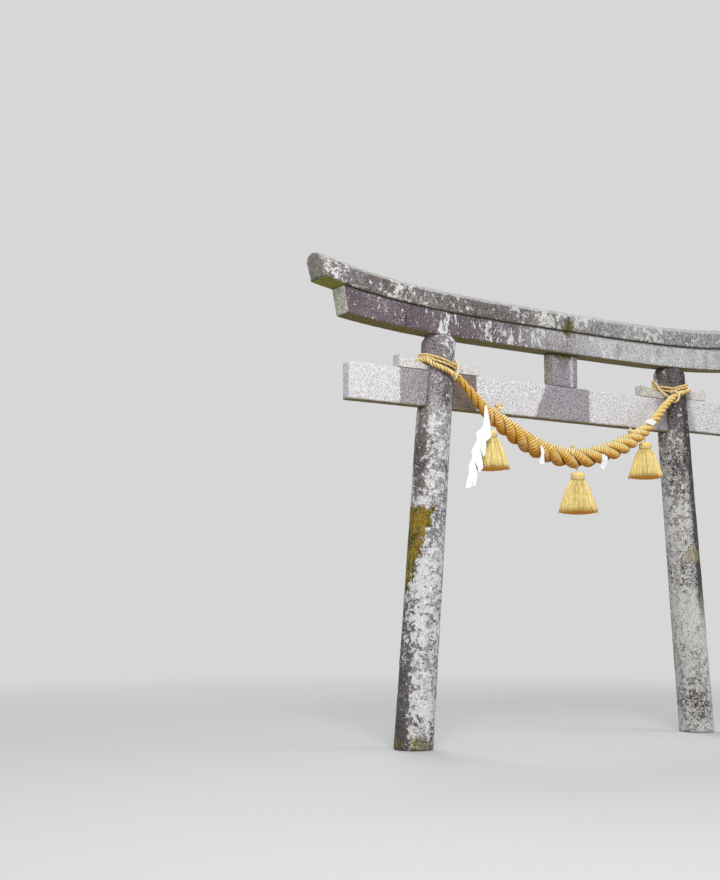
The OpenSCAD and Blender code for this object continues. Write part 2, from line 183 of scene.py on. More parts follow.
# %% Camera
bpy.context.scene.view_settings.view_transform = "Standard"
yaw, pitch, roll = -0.5586, 0.1265, 0.0061
lens = bpy.data.cameras.new("eye level")
lens.lens, lens.sensor_width = 53.35, 36
camera = bpy.data.objects.new("eye level", lens)
look = Vector((-math.sin(yaw) * math.cos(pitch), math.cos(yaw) * math.cos(pitch), math.sin(pitch)))
view_right = Vector((math.cos(yaw), math.sin(yaw), 0))
upward = view_right.cross(look)
across = math.cos(roll) * view_right + math.sin(roll) * upward
tall = -math.sin(roll) * view_right + math.cos(roll) * upward
camera.matrix_world = Matrix.Translation((-6.6658, -7.7045, 0.9944)) @ Matrix(
    (across, tall, -look)).transposed().to_4x4()
bpy.context.scene.collection.objects.link(camera)
bpy.context.scene.camera = camera
print("camera", tuple(round(c, 3) for c in camera.location))

# %% [markdown]
# ## Shader maths in Python
# A finish such as weathered granite is a web of many nodes. Written out node by node it
# can't be read, so one small class wraps a node's output and lets Python's own operators add the
# Math nodes. Any other node comes from one method that takes its type, settings and inputs. A
# material and the world both have such a tree, so that method belongs to a class that both use.

# %% A wrapped output and a paint box


class Wire:
    """One output in a node tree. Arithmetic on it adds Math nodes."""

    def __init__(self, graph, socket):
        self.graph, self.socket = graph, socket

    def math(self, operation, *others):
        """The output of a Math node whose first input is this one."""
        values = dict(enumerate((self, *others)))
        return self.graph.node("ShaderNodeMath", {"operation": operation}, values)

    def __add__(self, other):
        return self.math("ADD", other)

    def __sub__(self, other):
        return self.math("SUBTRACT", other)

    def __rsub__(self, other):
        return self.graph.node("ShaderNodeMath", {"operation": "SUBTRACT"}, {0: other, 1: self})

    def __mul__(self, other):
        return self.math("MULTIPLY", other)

    def __truediv__(self, other):
        return self.math("DIVIDE", other)

    def __pow__(self, power):
        return self.math("POWER", power)

    def __abs__(self):
        return self.math("ABSOLUTE")

    __radd__, __rmul__ = __add__, __mul__

    def step(self, low, high):
        """0 below low and 1 above high, smooth between them; low may be the larger one."""
        return self.graph.node(
            "ShaderNodeMapRange", {"interpolation_type": "SMOOTHSTEP"}, {0: self, 1: low, 2: high})


class Graph:
    """A node tree under construction."""

    def __init__(self, tree):
        self.tree = tree

    def node(self, kind, settings, inputs, output=0):
        """A new node's output, with its settings made first and its inputs set or linked."""
        made = self.tree.nodes.new(kind)
        for key, value in settings.items():
            setattr(made, key, value)
        self.join(made, inputs)
        return Wire(self, made.outputs[output])

    def join(self, made, inputs):
        """Links or sets the inputs of a node."""
        for key, value in inputs.items():
            if isinstance(value, Wire):
                self.tree.links.new(value.socket, made.inputs[key])
            else:
                made.inputs[key].default_value = value


class Paint(Graph):
    """A material under construction."""

    def __init__(self, name):
        self.material = bpy.data.materials.new(name)
        self.material.use_nodes = True
        super().__init__(self.material.node_tree)
        self.shader = self.tree.nodes["Principled BSDF"]

    def place(self, stretch=(1, 1, 1), shift=(0, 0, 0)):
        """Object coordinates, in metres, shifted and then stretched."""
        where = self.node("ShaderNodeTexCoord", {}, {}, "Object")
        return self.node("ShaderNodeMapping", {"vector_type": "TEXTURE"},
                         {0: where, 1: shift, 3: tuple(1 / s for s in stretch)})

    def attribute(self, name):
        """A number that the mesh keeps at each vertex."""
        return self.node("ShaderNodeAttribute", {"attribute_name": name}, {}, "Fac")

    def noise(self, where, scale, detail=4, rough=0.55):
        """Noise about 0.5, with features of about 1 / scale metres."""
        return self.node("ShaderNodeTexNoise", {}, {
            "Vector": where, "Scale": scale, "Detail": detail, "Roughness": rough})

    def cells(self, where, scale, output="Distance"):
        """A Voronoi pattern's distance from the middle of a cell, or the cell's colour."""
        return self.node("ShaderNodeTexVoronoi", {}, {"Vector": where, "Scale": scale}, output)

    def mix(self, share, first, second):
        """Colour between two colours; each is a wire or red, green and blue."""
        first, second = (c if isinstance(c, Wire) else (*c, 1) for c in (first, second))
        return self.node("ShaderNodeMix", {"data_type": "RGBA"},
                         {0: share, 6: first, 7: second}, 2)

    def blot(self, centre, size):
        """Distance from an ellipsoid's centre: 0 there, 1 on its surface and more outside."""
        where = self.node("ShaderNodeTexCoord", {}, {}, "Object")
        off = self.node("ShaderNodeVectorMath", {"operation": "SUBTRACT"}, {0: where, 1: centre})
        off = self.node("ShaderNodeVectorMath", {"operation": "DIVIDE"}, {0: off, 1: size})
        return self.node("ShaderNodeVectorMath", {"operation": "LENGTH"}, {0: off}, "Value")

    def finish(self, colour, roughness, relief, depth, specular=0.3):
        """Joins the colour, the roughness and a relief of this depth in metres to the shader."""
        bump = self.node("ShaderNodeBump", {}, {
            "Strength": 1.0, "Distance": depth, "Height": relief}, "Normal")
        self.join(self.shader, {"Base Color": colour, "Roughness": roughness, "Normal": bump,
                                "Specular IOR Level": specular})
        print("finish", self.material.name, "of", len(self.tree.nodes), "nodes")
        return self.material


print("paint box:", [name for name in vars(Paint) if not name.startswith("_")])

# %% [markdown]
# ## The studio
# The gate stands on a plain floor under soft light from above and the front left. The paleness of
# floor and backdrop is for the camera's rays alone, which the Light Path node tells apart, so it
# throws no light back on the gate. Far off, the floor fades into the backdrop and no horizon shows.

# %% Floor and world
BACKDROP = 0.68


def seen(graph):
    """1 for a ray from the camera, a gloss or a glass, and 0 for one that carries light."""
    camera_ray, gloss, glass = (graph.node("ShaderNodeLightPath", {}, {}, f"Is {kind} Ray")
                                for kind in ("Camera", "Glossy", "Transmission"))
    return camera_ray.math("MAXIMUM", gloss).math("MAXIMUM", glass)


floor_mesh = bpy.data.meshes.new("floor")
sheet = bmesh.new()
bmesh.ops.create_grid(sheet, x_segments=1, y_segments=1, size=150)
sheet.to_mesh(floor_mesh)
sheet.free()
floor = bpy.data.objects.new("floor", floor_mesh)
bpy.context.scene.collection.objects.link(floor)
studio = Paint("studio floor")
floor_mesh.materials.append(studio.material)
ground = studio.node("ShaderNodeTexCoord", {}, {}, "Object")
distance = studio.node("ShaderNodeVectorMath", {"operation": "LENGTH"}, {0: ground}, "Value")
tone = studio.mix(seen(studio), (0.34, 0.34, 0.335), (0.56, 0.56, 0.555))
studio.join(studio.shader, {"Base Color": tone, "Roughness": 0.9, "Specular IOR Level": 0.1})
plain = studio.node("ShaderNodeEmission", {}, {"Color": (BACKDROP, BACKDROP, BACKDROP, 1)})
blend = studio.node("ShaderNodeMixShader", {}, {
    0: seen(studio) * distance.step(2.5, 10), 1: Wire(studio, studio.shader.outputs[0]), 2: plain})
studio.join(studio.tree.nodes["Material Output"], {"Surface": blend})

world = bpy.data.worlds.new("studio")
world.use_nodes = True
bpy.context.scene.world = world
air = Graph(world.node_tree)
soft = air.node("ShaderNodeBackground", {}, {"Color": (0.93, 0.96, 1.0, 1), "Strength": 0.46})
wall = air.node("ShaderNodeBackground", {}, {
    "Color": (BACKDROP, BACKDROP, BACKDROP, 1), "Strength": 1.0})
both = air.node("ShaderNodeMixShader", {}, {0: seen(air), 1: soft, 2: wall})
air.join(air.tree.nodes["World Output"], {"Surface": both})
print("floor", tuple(floor.dimensions[:2]), "world", world.name)

# %% [markdown]
# Four large lamps do for an open sky that comes mostly from the front left. The key stands high,
# the low front one lights the faces under the lintels, the fill opens the shade on the right, and
# the back one keeps the rear from going dark. Large lamps give the soft shadows of a dull day.

# %% Lamps


def lamp(name, place, target, size, power, colour):
    """A large square area lamp that points at the target."""
    light = bpy.data.lights.new(name, "AREA")
    light.size, light.energy, light.color = size, power, colour
    unit = bpy.data.objects.new(name, light)
    unit.location = place
    unit.rotation_euler = (Vector(target) - Vector(place)).to_track_quat("-Z", "Y").to_euler()
    bpy.context.scene.collection.objects.link(unit)


lamp("key", (-5, -7, 8), (0, 0, 1.7), 4, 640, (1, 0.985, 0.96))
lamp("low front", (-7, -8, 2.5), (0, 0, 1.2), 5, 260, (1, 0.99, 0.98))
lamp("fill", (7, -6, 4), (0, 0, 1.5), 5, 200, (0.96, 0.98, 1))
lamp("back", (1, 6, 9), (0, 0, 2.4), 5, 420, (1, 1, 1))

# %% [markdown]
# ## Granite
# Old granite shows several things one over the other: crystals a few millimetres across, the marks
# of the chisel, clouds of purple-grey where the surface has weathered, dark grime, rust and water
# stains, moss where it stays damp, and pale lichen in crusts and round spots. Each is a noise of
# its own scale, and where it grows is a mask. The class below keeps the colour so far, and each
# method lays one more layer over it.

# %% A stone's layers


class Stone(Paint):
    """Granite under construction. The layers lie over each other in the order of the calls."""

    def __init__(self, name, seed, pale, dark):
        super().__init__(name)
        where = self.node("ShaderNodeTexCoord", {}, {}, "Object")
        self.x, self.y, self.z = (
            self.node("ShaderNodeSeparateXYZ", {}, {0: where}, axis) for axis in "XYZ")
        normal = self.node("ShaderNodeTexCoord", {}, {}, "Normal")
        self.rise = self.node("ShaderNodeSeparateXYZ", {}, {0: normal}, "Z")
        self.east = self.node("ShaderNodeSeparateXYZ", {}, {0: normal}, "X")
        self.here = self.place(shift=(seed, seed * 0.7, seed * 0.3))
        swirl = self.node("ShaderNodeTexNoise", {}, {
            "Vector": self.here, "Scale": 22, "Detail": 2, "Roughness": 0.5}, "Color")
        swirl = self.node("ShaderNodeVectorMath", {"operation": "SCALE"}, {0: swirl, "Scale": 0.035})
        self.bent = self.node("ShaderNodeVectorMath", {"operation": "ADD"}, {0: self.here, 1: swirl})
        self.drawn = self.node("ShaderNodeVectorMath", {"operation": "MULTIPLY"},
                               {0: self.bent, 1: (1, 1, 0.3)})
        self.crystals = self.noise(self.here, 150, 2, 0.75)
        self.hewn = self.noise(self.here, 78, 3, 0.6)
        self.broad = self.noise(self.here, 2.6, 3, 0.55)
        self.patch = self.noise(self.drawn, 13, 5, 0.66)
        self.colour = self.mix((self.crystals * 0.5 + self.hewn * 0.5).step(0.40, 0.60), dark, pale)
        self.relief = self.crystals * 0.35 + self.hewn * 0.7 + self.patch * 0.6

    def stain_and_light(self, mask, tint, amount=1.0, grain=0.5):
        """Tints what the mask covers, as a stain or as painted light and shade. Grain keeps the
        crystals visible in the tint.
        """
        light = tuple(min(1, c * (1 + grain)) for c in tint)
        deep = tuple(c * (1 - grain) for c in tint)
        speckled = self.mix((self.crystals * 0.5 + self.hewn * 0.5).step(0.40, 0.60), deep, light)
        self.colour = self.mix(mask * amount, self.colour, speckled)

    def clouds(self, tint, amount, size=3.4, low=0.44, high=0.6, drawn=False):
        """Weathered patches with soft edges, drawn out downwards if asked."""
        cloud = self.noise(self.drawn if drawn else self.here, size, 5, 0.6)
        self.stain_and_light(cloud.step(low, high), tint, amount)

    def grime(self, amount, size=9.0):
        """Soot-dark grime, in runs down the stone."""
        runs = self.noise(self.drawn, size, 6, 0.7)
        self.colour = self.mix(runs.step(0.50, 0.66) * amount, self.colour, (0.06, 0.05, 0.052))

    def crust(self, cover, size=24.0, white=(0.74, 0.74, 0.72), drawn=False):
        """Lichen crusts. Cover runs from about 0, a few, to 0.2, most of the stone."""
        field = self.noise(self.drawn if drawn else self.bent, size, 5, 0.6)
        mask = (field + (self.broad - 0.5) * 0.5 + cover).step(0.60, 0.645)
        tone = self.mix(self.noise(self.here, 75, 3, 0.7).step(0.35, 0.62),
                        tuple(c * 0.62 for c in white), white)
        self.colour = self.mix(mask * 0.93, self.colour, tone)
        self.relief = self.relief + mask * 0.3

    def dots(self, share, size, scale, tint=(0.70, 0.70, 0.68), limit=None):
        """Round spots: the middles of a share of the cells of a Voronoi pattern."""
        distance = self.cells(self.bent, scale)
        lot = self.cells(self.bent, scale, output="Color")
        lot = self.node("ShaderNodeSeparateXYZ", {}, {0: lot}, "X")
        radius = (lot - (1 - share)) * (size / share)
        mask = (radius - distance).step(0.0, 0.05)
        if limit is not None:
            mask = mask * limit
        self.colour = self.mix(mask * 0.9, self.colour, tint)

    def specks(self, cover, size=62.0, tint=(0.035, 0.032, 0.032), limit=None):
        """Black specks, which gather where the broad noise is low."""
        field = self.noise(self.bent, size, 3, 0.6)
        mask = (field - (self.broad - 0.5) * 0.4 + cover).step(0.63, 0.67)
        if limit is not None:
            mask = mask * limit
        self.colour = self.mix(mask * 0.9, self.colour, tint)

    def moss(self, mask, amount=0.9, damp=(0.045, 0.042, 0.003), dry=(0.34, 0.255, 0.008)):
        """Tufts of moss where the mask is: dark between the tufts, and rusty in places."""
        tuft = self.noise(self.here, 62, 4, 0.75)
        tall = self.noise(self.drawn, 26, 4, 0.6) * 0.45 + tuft * 0.55
        tint = self.mix(tall.step(0.43, 0.57), damp, dry)
        rust = self.noise(self.drawn, 9, 4, 0.6).step(0.48, 0.62)
        tint = self.mix(rust * 0.45, tint, tuple(c * k for c, k in zip(dry, (0.95, 0.62, 0.8))))
        self.colour = self.mix(mask * amount, self.colour, tint)
        self.relief = self.relief + mask * tuft * 2.0

    def ragged(self, amount=0.03):
        """A small shift that makes the straight edge of a mask uneven, in metres."""
        return (self.noise(self.here, 30, 4, 0.7) - 0.5) * (amount * 4)

    def underside(self, tint=(0.20, 0.17, 0.07), amount=0.8):
        """Damp stain and painted shade on faces that look down."""
        self.stain_and_light(self.rise.step(-0.55, -0.9), tint, amount, 0.35)

    def done(self, depth=0.004):
        """The finished material."""
        rough = 0.84 + self.crystals * 0.12
        return self.finish(self.colour, rough, self.relief, depth, 0.22)


print("stone's layers:", [name for name in vars(Stone) if not name.startswith("_")])

# %% [markdown]
# The two pillars differ most. The left one is pale with crusts below and carries a patch of moss,
# and the right one has a black run of grime down its outer side. Both patterns go by how far round
# the pillar a place lies, so each pillar gets a measure of that: metres to the right of its axis,
# looking from the front left.

# %% Left pillar's finish


def rightward(stone, side):
    """Metres to the right of a pillar's leaning axis, as the camera sees it."""
    axis = stone.z * (-side * math.tan(LEAN)) + side * SPACING / 2 * MM
    return (stone.x - axis) * view_right.x + stone.y * view_right.y


left_pillar = Stone("granite pillar left", 1.0, (0.52, 0.505, 0.51), (0.21, 0.195, 0.205))
round_left = rightward(left_pillar, -1)
height = left_pillar.z
left_pillar.clouds((0.20, 0.175, 0.19), 0.8, 3.2, 0.42, 0.58, True)
left_pillar.stain_and_light(height.step(2.35, 2.75), (0.20, 0.175, 0.185), 0.8)
left_pillar.grime(0.7, 10)
streak = round_left.step(-0.125, -0.105) * round_left.step(-0.035, -0.06) * height.step(1.7, 1.85)
left_pillar.stain_and_light(streak * height.step(2.75, 2.5), (0.13, 0.105, 0.09), 0.75)
damp = (round_left + left_pillar.ragged(0.03)).step(-0.04, -0.075) * height.step(1.15, 0.95)
left_pillar.stain_and_light(damp, (0.10, 0.092, 0.09), 0.88)
left_pillar.specks(0.035)
dry = height.step(2.5, 2.05) * 0.095 - streak * 0.1 - damp * 0.16
left_pillar.crust(dry + 0.045, 25, (0.80, 0.79, 0.80))
left_pillar.crust(dry * 0.5 + 0.005, 46, (0.84, 0.83, 0.84))
left_pillar.specks(0.025, 95)
wander = (left_pillar.noise(left_pillar.here, 9, 3, 0.6) - 0.5) * 0.14
moss_edge = (height - 1.02) * 0.28 - 0.14 - round_left + left_pillar.ragged(0.055) + wander
moss_top = 1.715 + round_left * 0.12 - height + left_pillar.ragged(0.05) + wander
not_behind = left_pillar.y.step(0.10, 0.05)
left_pillar.moss(moss_edge.step(0.0, 0.014) * moss_top.step(0.0, 0.02) * not_behind, 0.95)
left_pillar.moss(height.step(0.16, 0.02) * left_pillar.patch.step(0.42, 0.6), 0.5)
pillar_left_stone = left_pillar.done()

# %% Right pillar's finish
right_pillar = Stone("granite pillar right", 3.3, (0.50, 0.485, 0.475), (0.22, 0.205, 0.205))
round_right = rightward(right_pillar, 1)
height = right_pillar.z
right_pillar.clouds((0.21, 0.19, 0.19), 0.75, 3.4, 0.42, 0.58, True)
right_pillar.stain_and_light(height.step(2.2, 2.6), (0.105, 0.088, 0.092), 0.85)
right_pillar.stain_and_light(height.step(2.0, 1.5), (0.52, 0.50, 0.475), 0.65)
right_pillar.grime(0.6, 11)
right_pillar.specks(0.06)
right_pillar.crust(height.step(2.55, 2.2) * 0.105 + 0.03, 25, (0.68, 0.67, 0.65))
right_pillar.specks(0.045, 70)
run = (round_right + right_pillar.ragged(0.03)).step(0.045, 0.085) * height.step(0.75, 1.2)
right_pillar.stain_and_light(run, (0.05, 0.043, 0.045), 0.93, 0.4)
right_pillar.dots(0.35, 0.36, 42, limit=run)
right_pillar.dots(0.3, 0.30, 30, limit=height.step(2.0, 2.4))
disc = right_pillar.blot((1.27, -0.13, 1.42), (0.075, 0.09, 0.075))
right_pillar.stain_and_light((disc + right_pillar.ragged(0.35)).step(1.05, 0.7), (0.33, 0.30, 0.17), 0.6, 0.35)
pillar_right_stone = right_pillar.done()

# %% [markdown]
# The tie beam and its wedges are clean, pale stone with a hand-hewn face. Rainwater that runs down
# the pillars and the strut has stained the beam beside and below them, and the dry stone begins at
# a sharp edge. Such an edge is a step in X, shifted a little by a noise.

# %% Tie beam's finish
beam = Stone("granite tie beam", 5.1, (0.82, 0.81, 0.83), (0.44, 0.425, 0.445))
edge = beam.x + beam.ragged(0.008)
beam.clouds((0.62, 0.60, 0.615), 0.5, 4.0)
beam.stain_and_light(edge.step(-1.555, -1.535) * edge.step(-1.0, -1.1), (0.29, 0.27, 0.28), 0.93)
beam.stain_and_light(edge.step(-1.2, -1.18) * edge.step(-0.855, -0.87), (0.175, 0.13, 0.105), 0.95)
uneven_x = beam.x + beam.ragged(0.022)
leaning_x = beam.x + beam.ragged(0.022) + (2.70 - beam.z) * 0.42
beam.stain_and_light(leaning_x.step(-0.20, -0.18) * uneven_x.step(0.265, 0.235), (0.285, 0.26, 0.285), 0.93)
patchy_x = beam.x + beam.patch * 0.12
beam.stain_and_light(patchy_x.step(0.98, 1.08) * beam.x.step(1.2, 1.19), (0.33, 0.29, 0.31), 0.85)
patchy_x = beam.x + beam.patch * 0.1 + (beam.z - 2.6) * 0.2
beam.stain_and_light(patchy_x.step(1.47, 1.40) * beam.x.step(1.19, 1.2), (0.33, 0.30, 0.32), 0.8)
beam.crust(-0.06, 40, (0.86, 0.85, 0.86))
beam.specks(-0.07, 75, (0.16, 0.15, 0.155))
beam.stain_and_light((beam.z - 2.428 + beam.ragged(0.006)).step(0.016, 0.004), (0.26, 0.22, 0.12), 0.7)
# Damp stain and painted shade on faces that look down.
beam.underside((0.26, 0.20, 0.09), 0.85)
beam_stone = beam.done(0.006)

# %% Wedges' and strut's finishes
wedges = Stone("granite wedge", 7.7, (0.76, 0.75, 0.74), (0.46, 0.45, 0.44))
wedges.clouds((0.58, 0.56, 0.53), 0.6, 7.0)
away = wedges.x + wedges.ragged(0.02)
wedges.stain_and_light(away.step(-1.44, -1.38) * away.step(-1.15, -1.2), (0.56, 0.54, 0.50), 0.6)
wedges.stain_and_light(away.step(-1.12, -1.1) * away.step(-0.98, -1.0), (0.45, 0.41, 0.36), 0.5)
wedges.stain_and_light(away.step(0.7, 0.8) * away.step(1.1, 1.0), (0.48, 0.48, 0.40), 0.75)
wedges.stain_and_light(away.step(1.18, 1.2) * away.step(1.42, 1.36), (0.34, 0.31, 0.32), 0.85)
wedges.crust(-0.03, 40)
wedges.specks(-0.05, 75, (0.12, 0.11, 0.105))
# Damp stain and painted shade on faces that look down.
wedges.underside()
wedge_stone = wedges.done()

strut = Stone("granite strut", 9.2, (0.375, 0.36, 0.385), (0.15, 0.14, 0.155))
strut.clouds((0.22, 0.2, 0.225), 0.7, 5, 0.42, 0.58, True)
strut.grime(0.4)
clean = (strut.x + strut.ragged(0.012)).step(0.055, 0.068) * strut.x.step(0.1, 0.088)
strut.stain_and_light(clean, (0.55, 0.54, 0.55), 0.7)
strut.crust(-0.035, 30)
# Painted light: faces that look left, towards -X, are lighter.
strut.stain_and_light(strut.east.step(-0.5, -0.9), (0.30, 0.30, 0.22), 0.7)
mossy = (strut.z + strut.ragged(0.05)).step(2.905, 2.93)
mossy = mossy * strut.x.step(-0.14, -0.06) * strut.x.step(0.11, 0.05)
strut.moss(mossy, 0.95, (0.05, 0.05, 0.01), (0.2, 0.17, 0.03))
# Partly moss and partly painted shade under the lintel: the strut's very top goes nearly black.
strut.stain_and_light((strut.z + strut.ragged(0.008)).step(2.935, 2.95), (0.04, 0.035, 0.025), 0.85)
strut_stone = strut.done()

# %% [markdown]
# The two lintel courses share their joint, so the dark line along it, partly moss and partly painted
# shade, follows the same power curve that the solids rise by. A mask on plain height would leave the
# joint towards the ends.

# %% Lower lintel's finish
BED, BED_RISE, HALF_SPAN, CURVE = 3.130, 0.089, 2.005, 3.65


def above_joint(stone):
    """Height over the joint between the two courses, in metres."""
    share = abs(stone.x) / HALF_SPAN
    return stone.z - share ** CURVE * BED_RISE - BED


lintel = Stone("granite lintel", 11.4, (0.25, 0.21, 0.235), (0.075, 0.056, 0.068))
up = above_joint(lintel)
lintel.clouds((0.115, 0.09, 0.105), 0.8, 3.0, 0.42, 0.58)
lintel.stain_and_light(lintel.x.step(-1.0, 0.8) * (lintel.broad * 0.8 + 0.5), (0.56, 0.56, 0.57), 0.92, 0.4)
lintel.grime(0.45)
lintel.crust(lintel.x.step(-1.45, -0.8) * 0.075 - 0.055, 30, drawn=True)
lintel.crust(lintel.x.step(-1.2, -0.6) * 0.03 - 0.03, 55)
over_pillar = (lintel.x + lintel.ragged(0.03)).step(-1.27, -1.22) * lintel.x.step(-1.10, -1.15)
lintel.crust(over_pillar * 0.16 - 0.06, 20, (0.80, 0.80, 0.80), True)
lintel.dots(0.3, 0.3, 48)
lintel.specks(-0.02)
# Partly moss and partly painted shade: a dark band just under the joint, below the cap's edge.
lintel.stain_and_light((up + lintel.ragged(0.008)).step(-0.022, -0.006), (0.07, 0.062, 0.045), 0.75)
crack = abs(lintel.x + 1.52 + lintel.ragged(0.004)).step(0.007, 0.003)
lintel.stain_and_light(crack * lintel.z.step(3.075, 3.06), (0.03, 0.025, 0.03), 0.9)
# Painted light: faces that look left, towards -X, are lighter.
lintel.stain_and_light(lintel.east.step(-0.6, -0.9), (0.60, 0.61, 0.50), 0.85)
joint = lintel.blot((0.0, -0.09, 3.13), (0.05, 0.06, 0.045)) + lintel.ragged(0.6)
JOINT_MOSS = (0.035, 0.04, 0.008), (0.15, 0.15, 0.03)
lintel.moss(joint.step(1.1, 0.75), 0.92, *JOINT_MOSS)
middle = abs(lintel.x + lintel.ragged(0.004)).step(0.005, 0.002)
lintel.stain_and_light(middle, (0.05, 0.045, 0.04), 0.7)
# Damp stain and painted shade on faces that look down.
lintel.underside((0.22, 0.18, 0.06), 0.9)
lintel_stone = lintel.done()

# %% Cap's finish
cap = Stone("granite cap", 13.9, (0.33, 0.30, 0.305), (0.11, 0.095, 0.10))
up = above_joint(cap)
cap.clouds((0.15, 0.125, 0.13), 0.8, 3.0, 0.42, 0.58)
cap.grime(0.6, 12)
cap.clouds((0.11, 0.085, 0.075), 0.5, 16, 0.5, 0.62)
cap.stain_and_light(cap.x.step(-0.8, 0.9), (0.42, 0.42, 0.42), 0.6, 0.5)
cap.specks(0.03, 70)
cap.crust(0.035 + cap.x.step(-0.7, 0.2) * 0.03, 24)
cap.crust(-0.02, 50, (0.66, 0.66, 0.63))
corner = cap.blot((-2.11, -0.1, 3.33), (0.10, 0.07, 0.12)) + cap.ragged(0.15)
cap.crust(corner.step(1.2, 0.8) * 0.22 - 0.1, 30, (0.80, 0.80, 0.79))
# Painted light: the next line makes faces that look left, towards -X, lighter.
cap.stain_and_light(cap.east.step(-0.5, -0.85), (0.36, 0.345, 0.28), 0.6)
cap.crust(cap.east.step(-0.5, -0.85) * 0.12 - 0.1, 34, (0.58, 0.56, 0.50))
# Partly moss and partly painted shade: a dark band along the cap's lower edge.
cap.stain_and_light((up + cap.ragged(0.01)).step(0.020, 0.004), (0.08, 0.075, 0.04), 0.7)
joint = cap.blot((0.0, -0.10, 3.16), (0.05, 0.06, 0.07)) + cap.ragged(0.6)
cap.moss(joint.step(1.1, 0.75), 0.92, *JOINT_MOSS)
middle = abs(cap.x + cap.ragged(0.004)).step(0.006, 0.002)
cap.stain_and_light(middle, (0.04, 0.04, 0.025), 0.8)
# Painted light: faces that look up are paler, as if lit from the sky.
cap.stain_and_light(cap.rise.step(0.25, 0.6), (0.55, 0.55, 0.53), 0.6, 0.35)
beyond = abs(cap.x).step(2.0, 2.05)
# Damp stain and painted shade, nearly black, on faces that look down.
cap.underside((0.06, 0.05, 0.035), 0.9)
cap.stain_and_light(cap.rise.step(-0.55, -0.9) * beyond, (0.32, 0.295, 0.065), 0.95, 0.35)
cap_stone = cap.done()

# %% [markdown]
# ## Weathered stones
# The solids have sharp arrises and dead flat faces. Real ones have lost a few millimetres at every
# edge and wave a little. Bevels would wear every edge alike. A voxel remesh gives each stone an
# even skin of small faces instead, which a few rounds of smoothing soften at the edges and a noise
# along the normals makes uneven by a few millimetres. Two places have lost more: the pillars'
# tops are rounded off where they show beside the lintel, and the caps are drawn in above the joint.

# %% Pieces and their skins


def add_piece(name, mesh, material, body, nodes, slot):
    """Puts a finished mesh in the scene on its body, in place of its solids."""
    piece = bpy.data.objects.new(name, mesh)
    bpy.context.scene.collection.objects.link(piece)
    mesh.materials.clear()
    mesh.materials.append(material)
    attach(piece, body)
    if nodes:
        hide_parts(*nodes)
    return piece


def remeshed(source, voxel):
    """A copy of a mesh with an even skin of small faces."""
    holder = bpy.data.objects.new("holder", source)
    bpy.context.scene.collection.objects.link(holder)
    skin = holder.modifiers.new("skin", "REMESH")
    skin.mode, skin.voxel_size = "VOXEL", voxel
    ready = holder.evaluated_get(bpy.context.evaluated_depsgraph_get())
    mesh = bpy.data.meshes.new_from_object(ready)
    bpy.data.objects.remove(holder)
    return mesh


def joined_solid(node):
    """A copy of a solid's mesh with its loose triangles joined."""
    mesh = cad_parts[node].data.copy()
    solid = bmesh.new()
    solid.from_mesh(mesh)
    bmesh.ops.remove_doubles(solid, verts=solid.verts, dist=0.00001)
    solid.to_mesh(mesh)
    solid.free()
    return mesh


print("helpers", [f.__name__ for f in (add_piece, remeshed, joined_solid)])

# %% Stones after a century outdoors


def shoulder(stone, side):
    """Rounds a pillar's top edge, where it stands out beyond the lintel on it."""
    top, flat, wide, drop = HEIGHT * MM, 0.088, 0.038, 0.032
    for v in stone.verts:
        under = max(0, top + 0.002 - v.co.z)
        if under < drop:
            axis = Vector((side * (SPACING / 2 - v.co.z / MM * math.tan(LEAN)) * MM, 0, v.co.z))
            out = v.co - axis
            limit = flat + wide * math.sqrt(under / drop)
            if v.normal.z > 0.7:
                v.co.z -= drop * max(0, (out.length - flat) / wide) ** 2
            elif out.length > limit:
                v.co = axis + out.normalized() * limit


def drawn_in(stone):
    """Draws a cap's faces in above the joint, so that they lean out, all but at the end faces."""
    most, tall, end, ease = 0.013, 0.085, 2.02, 0.03
    for v in stone.verts:
        over = v.co.z - BED - BED_RISE * abs(v.co.x / HALF_SPAN) ** CURVE
        low = max(0, 1 - max(0, over) / tall) * min(1, max(0, (end - abs(v.co.x)) / ease))
        if abs(v.co.y) > 0.05:
            v.co.y -= math.copysign(most * low, v.co.y)


def worn(stone, rounds, uneven, chips):
    """Softens the edges and makes the faces wave. Chips go where the smoothing moved the most."""
    before = {v.index: v.co.copy() for v in stone.verts}
    for _ in range(rounds):
        bmesh.ops.smooth_vert(stone, verts=stone.verts, factor=0.5,
                              use_axis_x=True, use_axis_y=True, use_axis_z=True)
    for v in stone.verts:
        at_edge = min(1, (v.co - before[v.index]).length / 0.002)
        wave = noise.noise(v.co * 5.5) * 0.7 + noise.noise(v.co * 17) * 0.35
        chip = max(0, noise.noise(v.co * 31 + Vector((7, 3, 1))) - 0.15) * at_edge
        v.co += v.normal * (uneven * wave - chips * chip - 0.0004)


def weathered(node, material, slot, voxel, rounds, uneven, chips=0.003):
    """Replaces a stone's solid with the same stone after a century outdoors."""
    mesh = remeshed(joined_solid(node), voxel)
    stone = bmesh.new()
    stone.from_mesh(mesh)
    if node.startswith("pillar"):
        shoulder(stone, -1 if node.endswith("left") else 1)
    if node.startswith("cap"):
        drawn_in(stone)
    worn(stone, rounds, uneven, chips)
    stone.to_mesh(mesh)
    stone.free()
    mesh.shade_smooth()
    add_piece("stone_" + node, mesh, material, "gate", [node], slot)
    return len(mesh.polygons)


